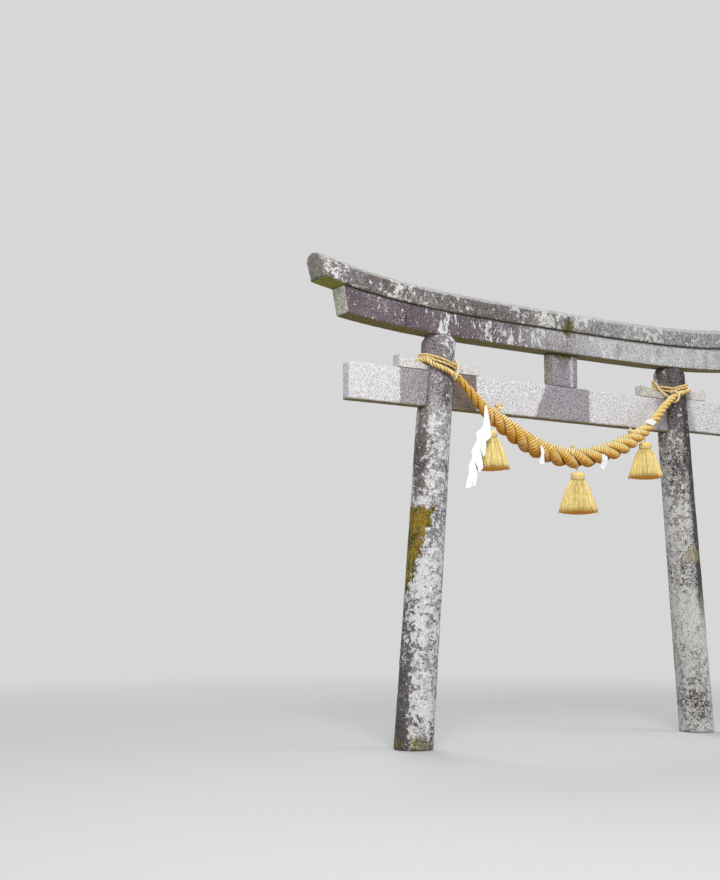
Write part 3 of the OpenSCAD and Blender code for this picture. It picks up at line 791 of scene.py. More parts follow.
stone_faces = 0
for node, material in (("pillar_left", pillar_left_stone), ("pillar_right", pillar_right_stone)):
    stone_faces += weathered(node, material, "granite_pillar", 0.011, 3, 0.004)
for node in ("tie_beam", "tie_end_right"):
    stone_faces += weathered(node, beam_stone, "granite_tie_beam", 0.0085, 2, 0.0015)
for node in ("wedge_left_outer", "wedge_left_inner", "wedge_right_inner", "wedge_right_outer"):
    stone_faces += weathered(node, wedge_stone, "granite_wedge", 0.0055, 2, 0.0012)
stone_faces += weathered("centre_strut", strut_stone, "granite_strut", 0.0065, 2, 0.0012)
for node in ("lower_lintel_left", "lower_lintel_right"):
    stone_faces += weathered(node, lintel_stone, "granite_lintel", 0.009, 2, 0.0022)
for node in ("cap_left", "cap_right"):
    stone_faces += weathered(node, cap_stone, "granite_cap", 0.009, 2, 0.0028)
print("stone faces", stone_faces)

# %% [markdown]
# ## Straw cordage
# The rope is three fat strands laid round each other, and each strand is bound with a fine cord,
# whose turns show as ribs. Every cord here is made the same way: a helix round a middle line for
# each strand, given to a curve with a round bevel, whose radius shrinks where two turns of the
# binding meet. The finish has to follow the lay of the rope, and neither Object coordinates nor a
# UV map would. So each vertex keeps three measures as attributes: "lay", its place across and
# along its own strand, "out", its share of the rope's radius, and "strand", the strand's number.

# %% Tubes along a line


def frames_along(line):
    """Tangent and two normals at each point, turned as little as possible from one to the next."""
    tangents = []
    for i in range(len(line)):
        ahead, back = line[min(i + 1, len(line) - 1)], line[max(i - 1, 0)]
        tangents.append((ahead - back).normalized())
    up = Vector((0, 0, 1)) if abs(tangents[0].z) < 0.9 else Vector((0, 1, 0))
    normal = (up - up.dot(tangents[0]) * tangents[0]).normalized()
    frames = []
    for t in tangents:
        normal = (normal - normal.dot(t) * t).normalized()
        frames.append((t, normal.copy(), t.cross(normal)))
    return frames


def resample(rows, step):
    """The same line and radii with points about one step apart, in metres."""
    points, radii = [rows[0][0].copy()], [rows[0][1]]
    left = step
    for (a, ra), (b, rb) in zip(rows, rows[1:]):
        length, done = (b - a).length, 0.0
        while length - done >= left:
            done += left
            share = done / length
            points.append(a.lerp(b, share))
            radii.append(ra + (rb - ra) * share)
            left = step
        left -= length - done
    return points, radii


def bevelled(name, runs, sides):
    """One mesh of round tubes, each through a row of points with a radius at each."""
    curve = bpy.data.curves.new(name, "CURVE")
    curve.dimensions, curve.bevel_depth = "3D", 1.0
    curve.bevel_resolution = (sides - 4) // 2
    curve.twist_mode = "MINIMUM"
    for points, radii in runs:
        spline = curve.splines.new("POLY")
        spline.points.add(len(points) - 1)
        spline.points.foreach_set("co", [c for p in points for c in (*p, 1)])
        spline.points.foreach_set("radius", radii)
    holder = bpy.data.objects.new(name, curve)
    bpy.context.scene.collection.objects.link(holder)
    ready = holder.evaluated_get(bpy.context.evaluated_depsgraph_get())
    mesh = bpy.data.meshes.new_from_object(ready)
    bpy.data.objects.remove(holder)
    tubes = bmesh.new()
    tubes.from_mesh(mesh)
    bmesh.ops.holes_fill(tubes, edges=[e for e in tubes.edges if e.is_boundary], sides=0)
    tubes.to_mesh(mesh)
    tubes.free()
    mesh.shade_smooth()
    return mesh


print("helpers", [f.__name__ for f in (frames_along, resample, bevelled)])

# %% Strands laid round a line


def keep(mesh, rule):
    """Stores the straw's three measures. The rule gives lay, out and strand for a vertex."""
    lay, out, strand = zip(*(rule(v) for v in mesh.vertices))
    field = mesh.attributes.new("lay", "FLOAT_VECTOR", "POINT")
    field.data.foreach_set("vector", [c for place in lay for c in place])
    for name, values in (("out", out), ("strand", strand)):
        field = mesh.attributes.new(name, "FLOAT", "POINT")
        field.data.foreach_set("value", values)


def laid(name, rows, step, strands, lead, fat, sides, rib=None, rib_depth=0.0, start=0.0,
         ragged=0.0, own_twist=0.0):
    """Strands laid right-handed round a line. Lead is the length of a turn in diameters, a number
    or a function of the place. Fat is the share of the radius that a strand takes."""
    points, radii = resample(rows, step)
    frames = frames_along(points)
    runs, places = [], []
    for s in range(strands):
        phase = start + 2 * math.pi * s / strands
        run, thick, travel, gone = [], [], [], 0.0
        for point, r, (t, n, b) in zip(points, radii, frames):
            thin = r * fat
            run.append(point + (r - thin) * (math.cos(phase) * n + math.sin(phase) * b))
            gone += (run[-1] - run[-2]).length if len(run) > 1 else 0
            place, grip = gone, 0.0
            if rib:
                place += rib * 0.3 * noise.noise(Vector((gone * 24, s * 7.7, 0)))
                deep = rib_depth * min(1, max(0.15, (r - 0.034) / 0.03))
                grip = deep * abs(2 * (place / rib % 1) - 1) ** 2.5
            swell = 1 + ragged * noise.noise(Vector((gone * 9, s * 5.1, 2)))
            thick.append((thin - grip) * swell)
            travel.append(place)
            turn = lead(point) if callable(lead) else lead
            phase += 2 * math.pi * step / (turn * 2 * r)
        runs.append((run, thick))
        places.append(travel)
    mesh = bevelled(name, runs, sides)
    per_run = len(mesh.vertices) // strands

    def rule(vertex):
        s, i = vertex.index // per_run, vertex.index % per_run // sides
        t, n, b = frames[i]
        across, from_axis = vertex.co - runs[s][0][i], vertex.co - points[i]
        a = own_twist * places[s][i]
        u, w = across.dot(n), across.dot(b)
        lay = (u * math.cos(a) - w * math.sin(a), u * math.sin(a) + w * math.cos(a), places[s][i])
        return lay, (from_axis - from_axis.dot(t) * t).length / radii[i], s + 0.5

    keep(mesh, rule)
    middle = len(points) // 2
    off = (mesh.vertices[middle * sides].co - runs[0][0][middle]).length - runs[0][1][middle]
    print(name, "points", len(points), "vertices", len(mesh.vertices), "ring off by", round(off, 5))
    return mesh


print("helpers", [f.__name__ for f in (keep, laid)])

# %% [markdown]
# Straw is pale on top, partly where light and rain have bleached it and partly as painted light, amber
# on its sides and orange-brown where it faces down, which is partly painted shade. Between two turns
# of a binding a painted shade makes it dark brown, and between two strands nearly black. A picture of
# straw would have to be unwrapped along every cord. The finish mixes these colours by the surface's
# own upward slope and by the attributes instead. Each turn of the binding, or each single straw, also
# draws its own tint from a white noise.

# %% Straw finishes


def straw(name, top, side, under, rib=None, crevice=(0.80, 0.62), tints=0.35, depth=0.001,
          bleach_and_highlight=(0.80, 0.70, 0.58), fibre=900, paler=None, green=0.0, length=0.05):
    """Rice straw. With a rib length the fibres run round the strand, and otherwise along it. A
    paler colour, for the rope, is the one that its right half has bleached to."""
    p = Paint(name)
    lay = p.node("ShaderNodeAttribute", {"attribute_name": "lay"}, {}, "Vector")
    out, strand = p.attribute("out"), p.attribute("strand")
    along = p.node("ShaderNodeSeparateXYZ", {}, {0: lay}, "Z")
    normal = p.node("ShaderNodeTexCoord", {}, {}, "Normal")
    rise = p.node("ShaderNodeSeparateXYZ", {}, {0: normal}, "Z")
    here = p.place()
    blotch = p.noise(here, 30, 4, 0.6)
    stretch = (0.12, 0.12, 1) if rib else (1, 1, length)
    threads = p.noise(p.node("ShaderNodeVectorMath", {"operation": "MULTIPLY"},
                             {0: lay, 1: stretch}), fibre, 3, 0.65)
    if rib:
        turn = (along / rib).math("FLOOR")
        from_crown = abs((along / rib).math("FRACT") * 2 - 1)
        groove, flank = from_crown.step(0.5, 0.95), from_crown.step(0.15, 0.7)
    else:
        turn, groove, flank = strand * 37, threads * 0, threads * 0
    lot = p.node("ShaderNodeTexWhiteNoise", {"noise_dimensions": "1D"},
                 {"W": turn + strand * 91}, "Value")
    # The slope mixes real bleaching with painted light and shade: faces that look up get the pale
    # colours, faces that look down the dark orange-brown one, and the flanks of the ribs are pulled
    # towards it as painted shade.
    slope = rise + (blotch - 0.5) * 0.9 - flank * 0.18
    colour = p.mix(slope.step(-0.8, -0.05), under, side)
    colour = p.mix(slope.step(0.1, 0.75), colour, top)
    colour = p.mix(slope.step(0.45, 0.95) * blotch.step(0.45, 0.62) * 0.6, colour, bleach_and_highlight)
    colour = p.mix(lot.step(0.55, 1.0) * tints, colour, tuple(c * 0.5 for c in side))
    colour = p.mix(lot.step(0.45, 0.0) * tints, colour, top)
    if green:
        colour = p.mix(lot.step(0.80, 0.84) * green, colour, (0.34, 0.33, 0.13))
    dark_thread = tuple(c * k for c, k in zip(side, (0.5, 0.4, 0.35)))
    pale_thread = tuple(min(1, c * 1.12) for c in top)
    colour = p.mix(threads.step(0.52, 0.70) * 0.55, colour, dark_thread)
    colour = p.mix(threads.step(0.45, 0.28) * 0.4, colour, pale_thread)
    if paler:
        east = p.node("ShaderNodeSeparateXYZ", {}, {0: here}, "X")
        right = (east + (blotch - 0.5) * 0.5).step(-0.25, 0.75)
        left_end = east.step(-0.84, -1.0) * slope.step(0.8, 0.0)
        colour = p.mix(left_end * 0.45, colour, (0.52, 0.27, 0.03))
        colour = p.mix(right * slope.step(-0.3, 0.35) * 0.5, colour, paler)
        # The painted shade in the grooves is weaker towards the ends and on the bleached right half.
        body = east.step(-1.05, -0.88) * east.step(0.84, 0.66)
        groove = groove * (body * 0.8 + 0.2) * (1.15 - right * 0.45 - (blotch - 0.5) * 1.2)
    # Painted shade: the grooves between turns of the binding are dark brown.
    colour = p.mix(groove * 0.68, colour, (0.17, 0.075, 0.012))
    # Painted shade: the crevices between strands, where out is low, are nearly black.
    colour = p.mix(out.step(*crevice) * 0.95, colour, (0.045, 0.020, 0.006))
    relief = threads * -0.45 - groove * 0.25
    return p.finish(colour, 0.8, relief, depth, 0.12)


RIB = 0.0165
rope_straw = straw("straw rope", (0.86, 0.79, 0.50), (0.83, 0.535, 0.130), (0.66, 0.26, 0.012),
                   rib=RIB, depth=0.0016, tints=0.25, paler=(0.82, 0.68, 0.32))
tail_straw = straw("straw tails", (0.95, 0.80, 0.45), (0.86, 0.60, 0.20), (0.42, 0.20, 0.03),
                   crevice=(0.90, 0.68))
cord_straw = straw("straw cords", (0.95, 0.82, 0.52), (0.95, 0.75, 0.42), (0.80, 0.50, 0.18),
                   crevice=(0.66, 0.45), bleach_and_highlight=(0.9, 0.76, 0.55))

# %% [markdown]
# ## The rope
# Three strands, each a little more than half of the rope's radius, sink into each other in the
# middle and leave deep crevices outside. The lay is long in the thick middle and short at the thin
# ends. With fourteen sides and a ring about every millimetre, the ribs are real relief.

# %% The straw rope
# Length of one turn, in diameters, at each X in metres.
lay_of_rope = [
    (-1.128, 3.3), (-1.02, 3.3), (-0.965, 2.95), (-0.9, 2.85), (-0.83, 2.5), (-0.74, 2.5),
    (-0.65, 2.35), (-0.54, 2.5), (-0.43, 2.0), (-0.34, 1.9), (-0.24, 2.45), (-0.095, 3.0),
    (0.055, 2.86), (0.2, 2.85), (0.335, 2.68), (0.45, 2.47), (0.55, 2.1), (0.625, 2.14), (0.7, 2.5),
    (0.76, 2.3), (0.85, 2.1),
]


def rope_lead(point):
    """Length of the rope's turn at a point, in diameters."""
    return between(lay_of_rope, point.x)


# Towards its left end the rope's straw is loose, and stands out by up to 13 %.
plump_end = [(-1.0, 1.13), (-0.87, 1.0)]
plump_line = [(p, r * between(plump_end, p.x)) for p, r in rope_line]
rope_mesh = laid("straw_rope_strands", plump_line, 0.00115, 3, rope_lead, 0.52, 14, rib=RIB,
                 rib_depth=0.0024, start=0.183, ragged=0.03)
rope = add_piece("straw_rope_strands", rope_mesh, rope_straw, "gate", ["straw_rope"], "rope_straw")

# %% [markdown]
# ## The tails and their hitches
# A tail is the rope's own straw, thinned out: thick for a third of a turn, and a thin cord from
# three quarters of a turn on. Its end comes forward over the other turns and is hitched round the
# rope. Both are laid like the rope, with other numbers, so no new helper is needed.

# %% Tails round the pillars
# The thinner a tail is, the looser its straw.
fluffy = [(THIN_R * MM, 1.35), (THICK_R * MM, 1.0)]
for side, stations in (("left", left_tail), ("right", right_tail)):
    line = [(p, r * between(fluffy, r)) for p, r in metres(smooth_line(stations, 3))]
    mesh = laid(f"tail_{side}_strands", line, 0.0025, 3, 2.1, 0.52, 12,
                start=1.0, ragged=0.05, own_twist=-90)
    add_piece(f"tail_{side}_strands", mesh, tail_straw, "gate", ["rope_wrap_" + side], "cord_straw")

# %% Hitches over the tails
for side, stations, route in (("left", left_tail, left_hitch), ("right", right_tail, right_hitch)):
    end, before = (Vector(stations[k][:3]) for k in (-1, -2))
    onward = (end - before).normalized()
    line = [tuple(end + onward * d) for d in (0.4, 6)] + route
    mesh = laid(f"hitch_{side}_strands", metres(smooth_line([(*p, THIN_R * 1.3) for p in line], 3)),
                0.0022, 2, 2.4, 0.58, 8, start=0.5, ragged=0.06)
    add_piece(f"hitch_{side}_strands", mesh, cord_straw, "gate", ["wrap_knot_" + side], "cord_straw")

# %% [markdown]
# ## The tassels
# Each tassel hangs by the eye of its cord from a loop round the rope, and swings there. The solids
# have that hinge straight under the loop's lowest point, so its place follows from the rope's own
# stations: down by the rope's radius and the loop's, square to the rope's slope, and then a little
# lower.

# %% Where each tassel hangs: X, length of the hanging cord and size
# Millimetres, as in the solids. A tassel's own size scales its head and its skirt.
LOOP_D, TASSEL_CORD_D, HOOK_GAP = 10, 15, 0.3
HEAD_D, HEAD_H, SKIRT_D, SKIRT_H, FLARE = 105, 53, 296, 256, 0.72
tassels = {"left": (-794, 30, 0.94), "centre": (5, 15, 1.01), "right": (690, 22, 0.92)}


def rope_at(x, column):
    """The rope's height, column 1, or its radius, column 2, at this X."""
    return between([(s[0], s[column]) for s in rope_stations], x)


def rope_tilt(x):
    """Angle of the rope's slope at this X."""
    return math.atan2(rope_at(x + 20, 1) - rope_at(x - 20, 1), 40)


def swing_axis(x):
    """The point on which a tassel swings, straight under its loop's lowest point."""
    tilt, reach = rope_tilt(x), rope_at(x, 2) + STRAW_GAP + LOOP_D / 2
    return Vector((x + reach * math.sin(tilt), ROPE_Y,
                   rope_at(x, 1) - reach * math.cos(tilt) - (LOOP_D + TASSEL_CORD_D) / 2 - HOOK_GAP))


for side, (x, *_) in tassels.items():
    print(side, "tassel swings at", tuple(round(c, 1) for c in swing_axis(x)))

# %% [markdown]
# A loop is pulled tight, so it lies on the strands and sinks into the crevices between them. A plain
# ring round the rope would float over a crevice or vanish in a strand. Where the strands' skin lies
# is found by casting rays at the finished rope from all round. Under the rope the loop hangs free,
# because there it carries the tassel.

# %% Loops pulled into the rope
rope_skin = BVHTree.FromPolygons([v.co for v in rope_mesh.vertices],
                                 [p.vertices[:] for p in rope_mesh.polygons])
FRONT = Vector((0, -1, 0))


def skin_at(centre, way):
    """How far the rope's skin lies from a point in its middle, in one direction."""
    hit = rope_skin.ray_cast(centre + way * 0.2, -way)[0]
    return (hit - centre).length if hit else 0.07


LOOP_POINTS = 96


def loop_ring(x, drift, slant):
    """A loop's line from the top of the rope round its front and back. Drift moves its top along X,
    and slant its front, where it follows the crevice between two strands."""
    ring = []
    for k in range(LOOP_POINTS):
        a = 2 * math.pi * k / LOOP_POINTS
        at = x + drift * (1 + math.cos(a)) / 2 + slant * max(0, math.sin(a))
        tilt = rope_tilt(at)
        centre = Vector((at, ROPE_Y, rope_at(at, 1))) * MM
        way = math.cos(a) * Vector((-math.sin(tilt), 0, math.cos(tilt))) + math.sin(a) * FRONT
        hang = min(1, max(0, (math.radians(27) - abs(a - math.pi)) / math.radians(17)))
        sunk = skin_at(centre, way) - 0.15 * LOOP_D * MM
        free = (rope_at(at, 2) + STRAW_GAP + LOOP_D / 2) * MM
        ring.append((centre, way, sunk + (free - sunk) * hang))
    for _ in range(2):
        reach = [r for c, w, r in ring]
        ring = [(c, w, max(r, (reach[k - 1] + r + reach[(k + 1) % LOOP_POINTS]) / 3))
                for k, (c, w, r) in enumerate(ring)]
    ring.append(ring[0])
    return [(c + w * r, 0.45 * LOOP_D * MM) for c, w, r in ring]


drifts = {"left": (-14, -40), "centre": (-50, -57), "right": (-30, -45)}
for side, (x, *_) in tassels.items():
    loop = laid(f"loop_{side}_strands", loop_ring(x, *drifts[side]), 0.002, 2, 2.6, 0.56, 8,
                ragged=0.05)
    add_piece(f"loop_{side}_strands", loop, cord_straw, "gate", ["tassel_loop_" + side], "cord_straw")

# %% [markdown]
# The knots are the plainest closed knot, a trefoil, small and pulled tight, with two cut ends. Its
# line is one short formula for each axis, so no knot has to be drawn by hand.

# %% Knots on top of the rope


def knot(name, at, across, thick, turned, body="gate"):
    """A trefoil knot of this width with two loose ends, round a point."""
    unit = (across / 2 - thick) / 3 * MM
    turn = Matrix.Rotation(turned, 3, "Y") @ Matrix.Rotation(math.radians(72), 3, "X")
    rows = []
    for k in range(61):
        t = 2 * math.pi * k / 60
        lobe = Vector((math.sin(t) + 2 * math.sin(2 * t), math.cos(t) - 2 * math.cos(2 * t),
                       -2.2 * math.sin(3 * t)))
        rows.append((at + turn @ (lobe * unit), thick * MM))
    mesh = laid(name, rows, 0.002, 2, 2.4, 0.58, 8, ragged=0.08)
    add_piece(name, mesh, cord_straw, body, [], "cord_straw")
    for k, (dx, dz) in enumerate(((0.8, 0.5), (-0.75, -0.3))):
        rows = [(at + turn @ (Vector((dx * d, dz * d, 0)) * across / 2 * MM), thick * MM)
                for d in (0.2, 0.6, 1.05)]
        end = laid(f"{name}_end_{k + 1}", rows, 0.002, 2, 2.4, 0.58, 8)
        add_piece(f"{name}_end_{k + 1}", end, cord_straw, body, [], "cord_straw")


def on_top(x, up_by):
    """A point a little over the rope's top at this X."""
    tilt = rope_tilt(x)
    way = Vector((-math.sin(tilt), -0.2, math.cos(tilt))).normalized()
    return (Vector((x, ROPE_Y, rope_at(x, 1))) + way * (rope_at(x, 2) + up_by)) * MM


knot("loop_knot_left", on_top(-808, 25), 70, 12.5, 0.5)
knot("loop_knot_centre", on_top(-50, 12), 36, 7.5, 0.0)
knot("loop_knot_right", on_top(585, 14), 48, 9.0, -0.6)

# %% [markdown]
# A head is a bundle of straw folded over and held by its binding. Turning a profile gives the drum,
# and cord wound round it gives the two bands. The skirt is cut flat below. Its straws are single
# tubes, fanned out over a ribbed cone that closes the gaps between them.

# %% Straw turned about an upright axis


def spun(profile, steps):
    """A profile of radius and height turned about Z with the spin operator."""
    shape = bmesh.new()
    rim = [shape.verts.new((r, 0, z)) for r, z in profile]
    edges = [shape.edges.new(pair) for pair in zip(rim, rim[1:])]
    bmesh.ops.spin(shape, geom=rim + edges, axis=(0, 0, 1), cent=(0, 0, 0), steps=steps,
                   angle=2 * math.pi, use_merge=True)
    bmesh.ops.remove_doubles(shape, verts=shape.verts, dist=0.00001)
    bmesh.ops.recalc_face_normals(shape, faces=shape.faces)
    return shape


def skirt_radius(share, size):
    """Radius of a skirt at a share of its height, from hem to head, in millimetres."""
    top, hem = 0.47 * HEAD_D, SKIRT_D / 2
    return size * (top + (hem - top) * (1 - share) ** FLARE)


def round_lay(foot):
    """The rule for the measures of a piece turned about an upright axis."""
    def rule(vertex):
        off = vertex.co - foot
        return (off.x, off.y, off.z), 1.0, 0.5
    return rule


def turned_piece(name, shape, foot, material, side, node, slot):
    """Sets a turned shape on its foot and puts it on its tassel."""
    bmesh.ops.translate(shape, verts=shape.verts, vec=foot)
    mesh = bpy.data.meshes.new(name)
    shape.to_mesh(mesh)
    shape.free()
    mesh.shade_smooth()
    keep(mesh, round_lay(foot))
    add_piece(name, mesh, material, "tassel_" + side, [node], slot)


print("skirt radius at the head and the hem", skirt_radius(1, 1), skirt_radius(0, 1))

# %% Tassel finishes
skirt_straw = straw("straw tassel", (0.95, 0.80, 0.38), (0.92, 0.72, 0.28), (0.55, 0.22, 0.010),
                    crevice=(0.5, 0.4), tints=0.9, depth=0.0006, bleach_and_highlight=(0.95, 0.81, 0.44), fibre=120,
                    green=0.5, length=0.28)
# The cone inside is darker than the straws over it, which paints shade into the gaps between them.
core_straw = straw("straw tassel inside", (0.62, 0.45, 0.14), (0.52, 0.34, 0.08), (1.0, 0.33, 0.010),
                   crevice=(0.5, 0.4), tints=0.3, depth=0.0012, bleach_and_highlight=(0.5, 0.36, 0.15), fibre=420)
head_straw = straw("straw heads", (0.95, 0.76, 0.30), (0.92, 0.66, 0.17), (0.50, 0.22, 0.02),
                   crevice=(0.5, 0.4), tints=0.3, depth=0.0012, bleach_and_highlight=(0.90, 0.76, 0.42), fibre=500)
band_straw = straw("straw bands", (0.90, 0.86, 0.62), (0.88, 0.82, 0.54), (0.60, 0.52, 0.26),
                   crevice=(0.5, 0.4), tints=0.2, bleach_and_highlight=(0.84, 0.84, 0.70))

# %% Head and hanging cord of one tassel
BAND_LEVELS, BAND_TURNS, BAND_R, BAND_CLIMB = (0.09, 0.33), 2, 0.0019, 0.0036


def tassel_head(side, axis, cord_len, size):
    """The drum of folded straw and the two bands wound round it."""
    r, h = HEAD_D / 2 * size * MM, HEAD_H * size * MM
    foot = axis - Vector((0, 0, cord_len * MM + h))
    profile = [(0, 0), (0.9 * r, 0), (0.95 * r, 0.06 * h), (r * 0.95, 0.2 * h), (r * 0.92, 0.34 * h),
               (0.94 * r, 0.44 * h), (0.985 * r, 0.56 * h), (0.99 * r, 0.70 * h), (0.95 * r, 0.85 * h),
               (0.84 * r, 0.95 * h), (0.6 * r, 0.995 * h), (0.25 * r, 0.985 * h), (0, 0.96 * h)]
    shape = spun(profile, 120)
    for v in shape.verts:
        a, reach = math.atan2(v.co.y, v.co.x), math.hypot(v.co.x, v.co.y)
        if reach > 0.3 * r:
            ridge = 0.0008 * math.sin(40 * a + 2 * noise.noise(v.co * 60))
            ridge += 0.0009 * noise.noise(v.co * 90)
            v.co += Vector((v.co.x, v.co.y, 0)) / reach * ridge
    turned_piece(f"tassel_head_{side}_straw", shape, foot, head_straw, side,
                 "tassel_head_" + side, "binding_straw")
    for number, level in enumerate(BAND_LEVELS):
        coil = []
        for k in range(60 * BAND_TURNS + 1):
            around = Matrix.Rotation(2 * math.pi * k / 60, 3, "Z") @ Vector((0.975 * r, 0, 0))
            climb = Vector((0, 0, h * level + k / 60 * BAND_CLIMB))
            coil.append((foot + around + climb, BAND_R))
        band = laid(f"band_{side}_{number + 1}", coil, 0.0018, 2, 2.4, 0.6, 6)
        add_piece(f"band_{side}_{number + 1}", band, band_straw, "tassel_" + side, [], "cord_straw")


def tassel_cord(side, axis, cord_len):
    """The cord that hangs from the loop down into the head."""
    line = [(axis + Vector((0, 0, z * MM)), 0.006) for z in (5.5, 0, -cord_len * 0.5, -cord_len - 3)]
    mesh = laid(f"hanger_{side}_strands", line, 0.0018, 2, 2.2, 0.56, 8, start=0.7)
    add_piece(f"hanger_{side}_strands", mesh, cord_straw, "tassel_" + side,
              ["tassel_cord_" + side], "cord_straw")


for side, (x, cord_len, size) in tassels.items():
    tassel_cord(side, swing_axis(x) * MM, cord_len)
    tassel_head(side, swing_axis(x) * MM, cord_len, size)

# %% [markdown]
# A third of the straws start at the head, and the rest come out from under them further down, as
# the skirt widens. Each has its own length, lift and tint, so the hem is ragged and fine dark gaps
# open between the straws. A hair system would be quicker to set up, but a glTF file doesn't keep it,
# and nine hundred four-sided tubes in one mesh are light enough.

# %% Skirt of one tassel
STRAWS, STRAW_POINTS = 900, 8


def skirt_core(side, top, size):
    """The ribbed cone under the straws, with a hem cut nearly flat."""
    height, hem = size * SKIRT_H * MM, skirt_radius(0, size) * MM
    profile = [(0, -height * 1.025), (hem * 0.4, -height * 1.018), (hem * 0.72, -height * 0.995),
               (hem * 0.92, -height * 0.965), (hem * 0.965, -height * 0.935)]
    profile += [(skirt_radius(k / 12, size) * MM * 0.985 - 0.0012, -height * (1 - k / 12))
                for k in range(2, 13)]
    profile += [(0, 0)]
    shape = spun(profile, 160)
    for v in shape.verts:
        reach = math.hypot(v.co.x, v.co.y)
        if reach > 0.02:
            a = math.atan2(v.co.y, v.co.x)
            wave = math.sin(80 * a) * 0.0011 + 0.0025 * noise.noise(
                Vector((math.cos(a) * 7, math.sin(a) * 7, v.co.z * 2)))
            v.co += Vector((v.co.x, v.co.y, 0)) / reach * (wave - 0.001)
        else:
            v.co.z += 0.002 * noise.noise(v.co * 60)
    turned_piece(f"skirt_core_{side}", shape, top, core_straw, side,
                 "tassel_skirt_" + side, "tassel_straw")


def skirt_straws(side, top, size):
    """The single straws over the cone, each with its own start, length, lift, bow and tint."""
    rng = random.Random(side)
    height = size * SKIRT_H * MM
    runs, tints = [], []
    for k in range(STRAWS):
        a = 2 * math.pi * (k + rng.random()) / STRAWS
        begin = rng.choice((0.0, 0.18, 0.42)) + rng.uniform(0, 0.06)
        length = rng.uniform(0.89, 0.975) if rng.random() < 0.75 else rng.uniform(0.82, 1.02)
        drift, lift = rng.uniform(-0.045, 0.045), rng.uniform(-0.0004, 0.0024)
        thick, bow = rng.uniform(0.0009, 0.0016), rng.uniform(-0.0014, 0.0014)
        points, radii = [], []
        for j in range(STRAW_POINTS):
            down = begin + (length - begin) * j / (STRAW_POINTS - 1)
            reach = skirt_radius(1 - min(1, down), size) * MM + lift * (0.3 + down)
            reach += bow * math.sin(7 * down + k)
            if begin > 0.1 and j == 0:
                reach -= 0.003
            if down > 1:
                reach += (down - 1) * 0.05
            turn = a + drift * down
            points.append(top + Vector((reach * math.cos(turn), reach * math.sin(turn),
                                        -height * down)))
            radii.append(thick * (1.0 if j < STRAW_POINTS - 2 else 0.8))
        runs.append((points, radii))
        tints.append(rng.random())
    mesh = bevelled("skirt_straws", runs, 4)
    per_run = len(mesh.vertices) // STRAWS

    def rule(vertex):
        off = vertex.co - top
        return (off.x, off.y, off.z), 1.0, tints[vertex.index // per_run]

    keep(mesh, rule)
    add_piece(f"skirt_straws_{side}", mesh, skirt_straw, "tassel_" + side, [], "tassel_straw")
    return len(mesh.polygons)


for side, (x, cord_len, size) in tassels.items():
    skirt_top = swing_axis(x) * MM - Vector((0, 0, (cord_len + size * HEAD_H) * MM))
    skirt_core(side, skirt_top, size)
    print(side, "skirt faces", skirt_straws(side, skirt_top, size))

# %% [markdown]
# The right tassel's head has a small knot on its right front side. The same trefoil serves for it,
# and it rides on the tassel's body, so that it swings along.

# %% Knot beside the right head
BESIDE_HEAD = Vector((0.040, -0.020, -0.048))
right_axis = swing_axis(tassels["right"][0]) * MM
knot("head_knot_right", right_axis + BESIDE_HEAD, 26, 4.5, 0.4, "tassel_right")

# %% [markdown]
# ## The paper streamers
# White paper, cut and folded into zigzags, is tucked under the straw. Each streamer starts as a
# flat outline. Cuts along its folds make every panel flat, so it creases sharply there, and finer
# cuts let each panel bend a little. A thin wall gives it an edge.

# %% White paper
paper = Paint("white paper")
creases = paper.noise(paper.place(), 38, 4, 0.6)
# Painted shade: the crease noise lays grey-blue patches on the white.
paper_with_painted_shade = paper.mix(creases.step(0.52, 0.70) * 0.6, (0.86, 0.86, 0.865), (0.66, 0.685, 0.73))
white_paper = paper.finish(paper_with_painted_shade, 0.65, creases, 0.002, 0.3)

# %% Each paper's X, lean, folds and outline, in millimetres and degrees
long_folds = [(0, 0), (118, 9), (245, 0), (330, 15), (425, 2), (520, 15), (610, 3), (760, 12)]
streamers = {
    "long": (-905, 16, long_folds, [
        (-11, -4), (10, 2), (3, -60), (-4, -115), (-2, -217), (-7, -252), (-71, -295), (-93, -393),
        (-116, -416), (-120, -392), (-141, -330), (-127, -398), (-140, -480), (-146, -507),
        (-185, -539), (-193, -500), (-214, -452), (-202, -520), (-200, -560), (-236, -640),
        (-262, -648), (-250, -588), (-274, -652), (-323, -671), (-329, -658), (-305, -610),
        (-269, -541), (-267, -492), (-204, -399), (-214, -377), (-133, -262), (-141, -232),
        (-68, -175), (-50, -119), (-29, -55)]),
    "left": (-410, 0, [(0, 0), (52, 8), (104, 1), (150, 9)], [
        (-12, -2), (2, 1), (16, -22), (24, -44), (14, -64), (19, -96), (26, -134), (-29, -141),
        (-18, -96), (-9, -60), (-15, -34)]),
    "right": (205, 0, [(0, 0), (40, 9), (90, 0), (130, 9)], [
        (-17, 3), (8, -2), (39, -20), (21, -90), (-5, -119), (-35, -109), (-8, -54)]),
    "top": (768, 0, [(0, 0), (60, 3), (120, 0)], [
        (2, -4), (-8, 2), (-44, 9), (-92, 24), (-48, 47), (1, 47), (39, 34)]),
}
print("papers", list(streamers))

# %% Streamers
# The way down a paper, along which its folds are counted, the spacing of the finer cuts in
# millimetres, and the thickness in metres.
FALL, GRID, PAPER_THICK = Vector((-0.40, 0, -0.917)), 12, 0.0009


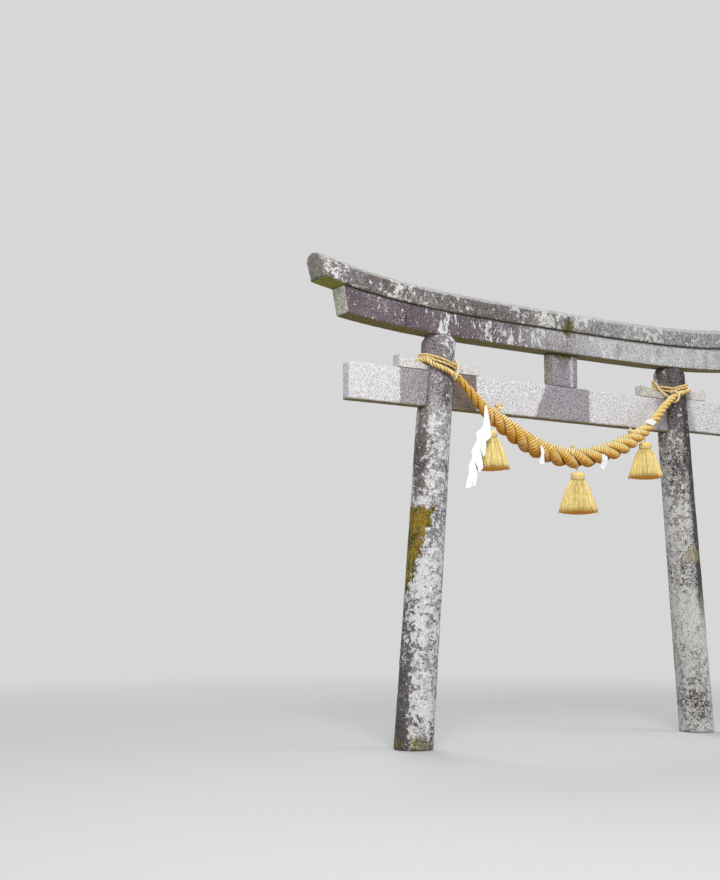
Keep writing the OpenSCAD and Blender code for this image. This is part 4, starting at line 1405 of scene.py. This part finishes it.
def streamer(name, x, tilt, folds, outline):
    """A creased paper cut to the outline, hung from the front of the rope. The folds are pairs:
    how far down the paper each lies, and how far it stands forward."""
    cut = bmesh.new()
    corners = [cut.verts.new((px * MM, 0, pz * MM)) for px, pz in outline]
    cut.faces.new(corners)
    bmesh.ops.triangulate(cut, faces=cut.faces)
    low, high = min(pz for px, pz in outline), max(pz for px, pz in outline)
    west, east = min(px for px, pz in outline), max(px for px, pz in outline)
    cuts = [(FALL * down * MM, FALL) for down, stand in folds]
    cuts += [(Vector((0, 0, pz * MM)), (0, 0, 1)) for pz in range(low + GRID, high, GRID)]
    cuts += [(Vector((px * MM, 0, 0)), (1, 0, 0)) for px in range(west + GRID, east, GRID)]
    for place, across in cuts:
        bmesh.ops.bisect_plane(cut, geom=cut.verts[:] + cut.edges[:] + cut.faces[:],
                               plane_co=place, plane_no=across)
    flat_area = sum(f.calc_area() for f in cut.faces)
    for v in cut.verts:
        down = max(0, v.co.dot(FALL) / MM)
        wave = min(1, down / 60) * noise.noise(v.co * 14) * 1.2
        v.co.y = -(1.3 + between(folds, down) + max(-1, wave)) * MM
    hang = Vector((x, ROPE_Y - rope_at(x, 2) - STRAW_GAP / 2, rope_at(x, 1))) * MM
    bmesh.ops.rotate(cut, verts=cut.verts, matrix=Matrix.Rotation(-math.radians(tilt), 3, "X"))
    bmesh.ops.translate(cut, verts=cut.verts, vec=hang)
    mesh = bpy.data.meshes.new("paper_" + name)
    cut.to_mesh(mesh)
    cut.free()
    piece = add_piece(f"paper_{name}_sheet", mesh, white_paper, "gate",
                      ["paper_streamer_" + name], "white_paper")
    edge = piece.modifiers.new("thickness", "SOLIDIFY")
    edge.thickness, edge.offset = PAPER_THICK, 0.0
    width, length = (east - west) * MM, (high - low) * MM
    # The declared area is the cut one, but at least 0.3 and at most all of the flat box.
    min(1.0, max(0.3, flat_area / (width * length))) * width * length
    print("paper", name, "flat", round(width, 3), round(length, 3), "area", round(flat_area, 4))


for name, (x, tilt, folds, outline) in streamers.items():
    streamer(name, x, tilt, folds, outline)

# %% [markdown]
# ## Declaring the rope
# The rope is a free cord of a known length: it leaves the left pillar's turns, hangs and goes back
# into the right pillar's turns. Its own middle line is the path that is measured.

# %% The rope as a cord
[tuple(p) for p, r in rope_line[::8]] + [tuple(rope_line[-1][0])]
print("rope declared,", round(rope_length, 3), "m")
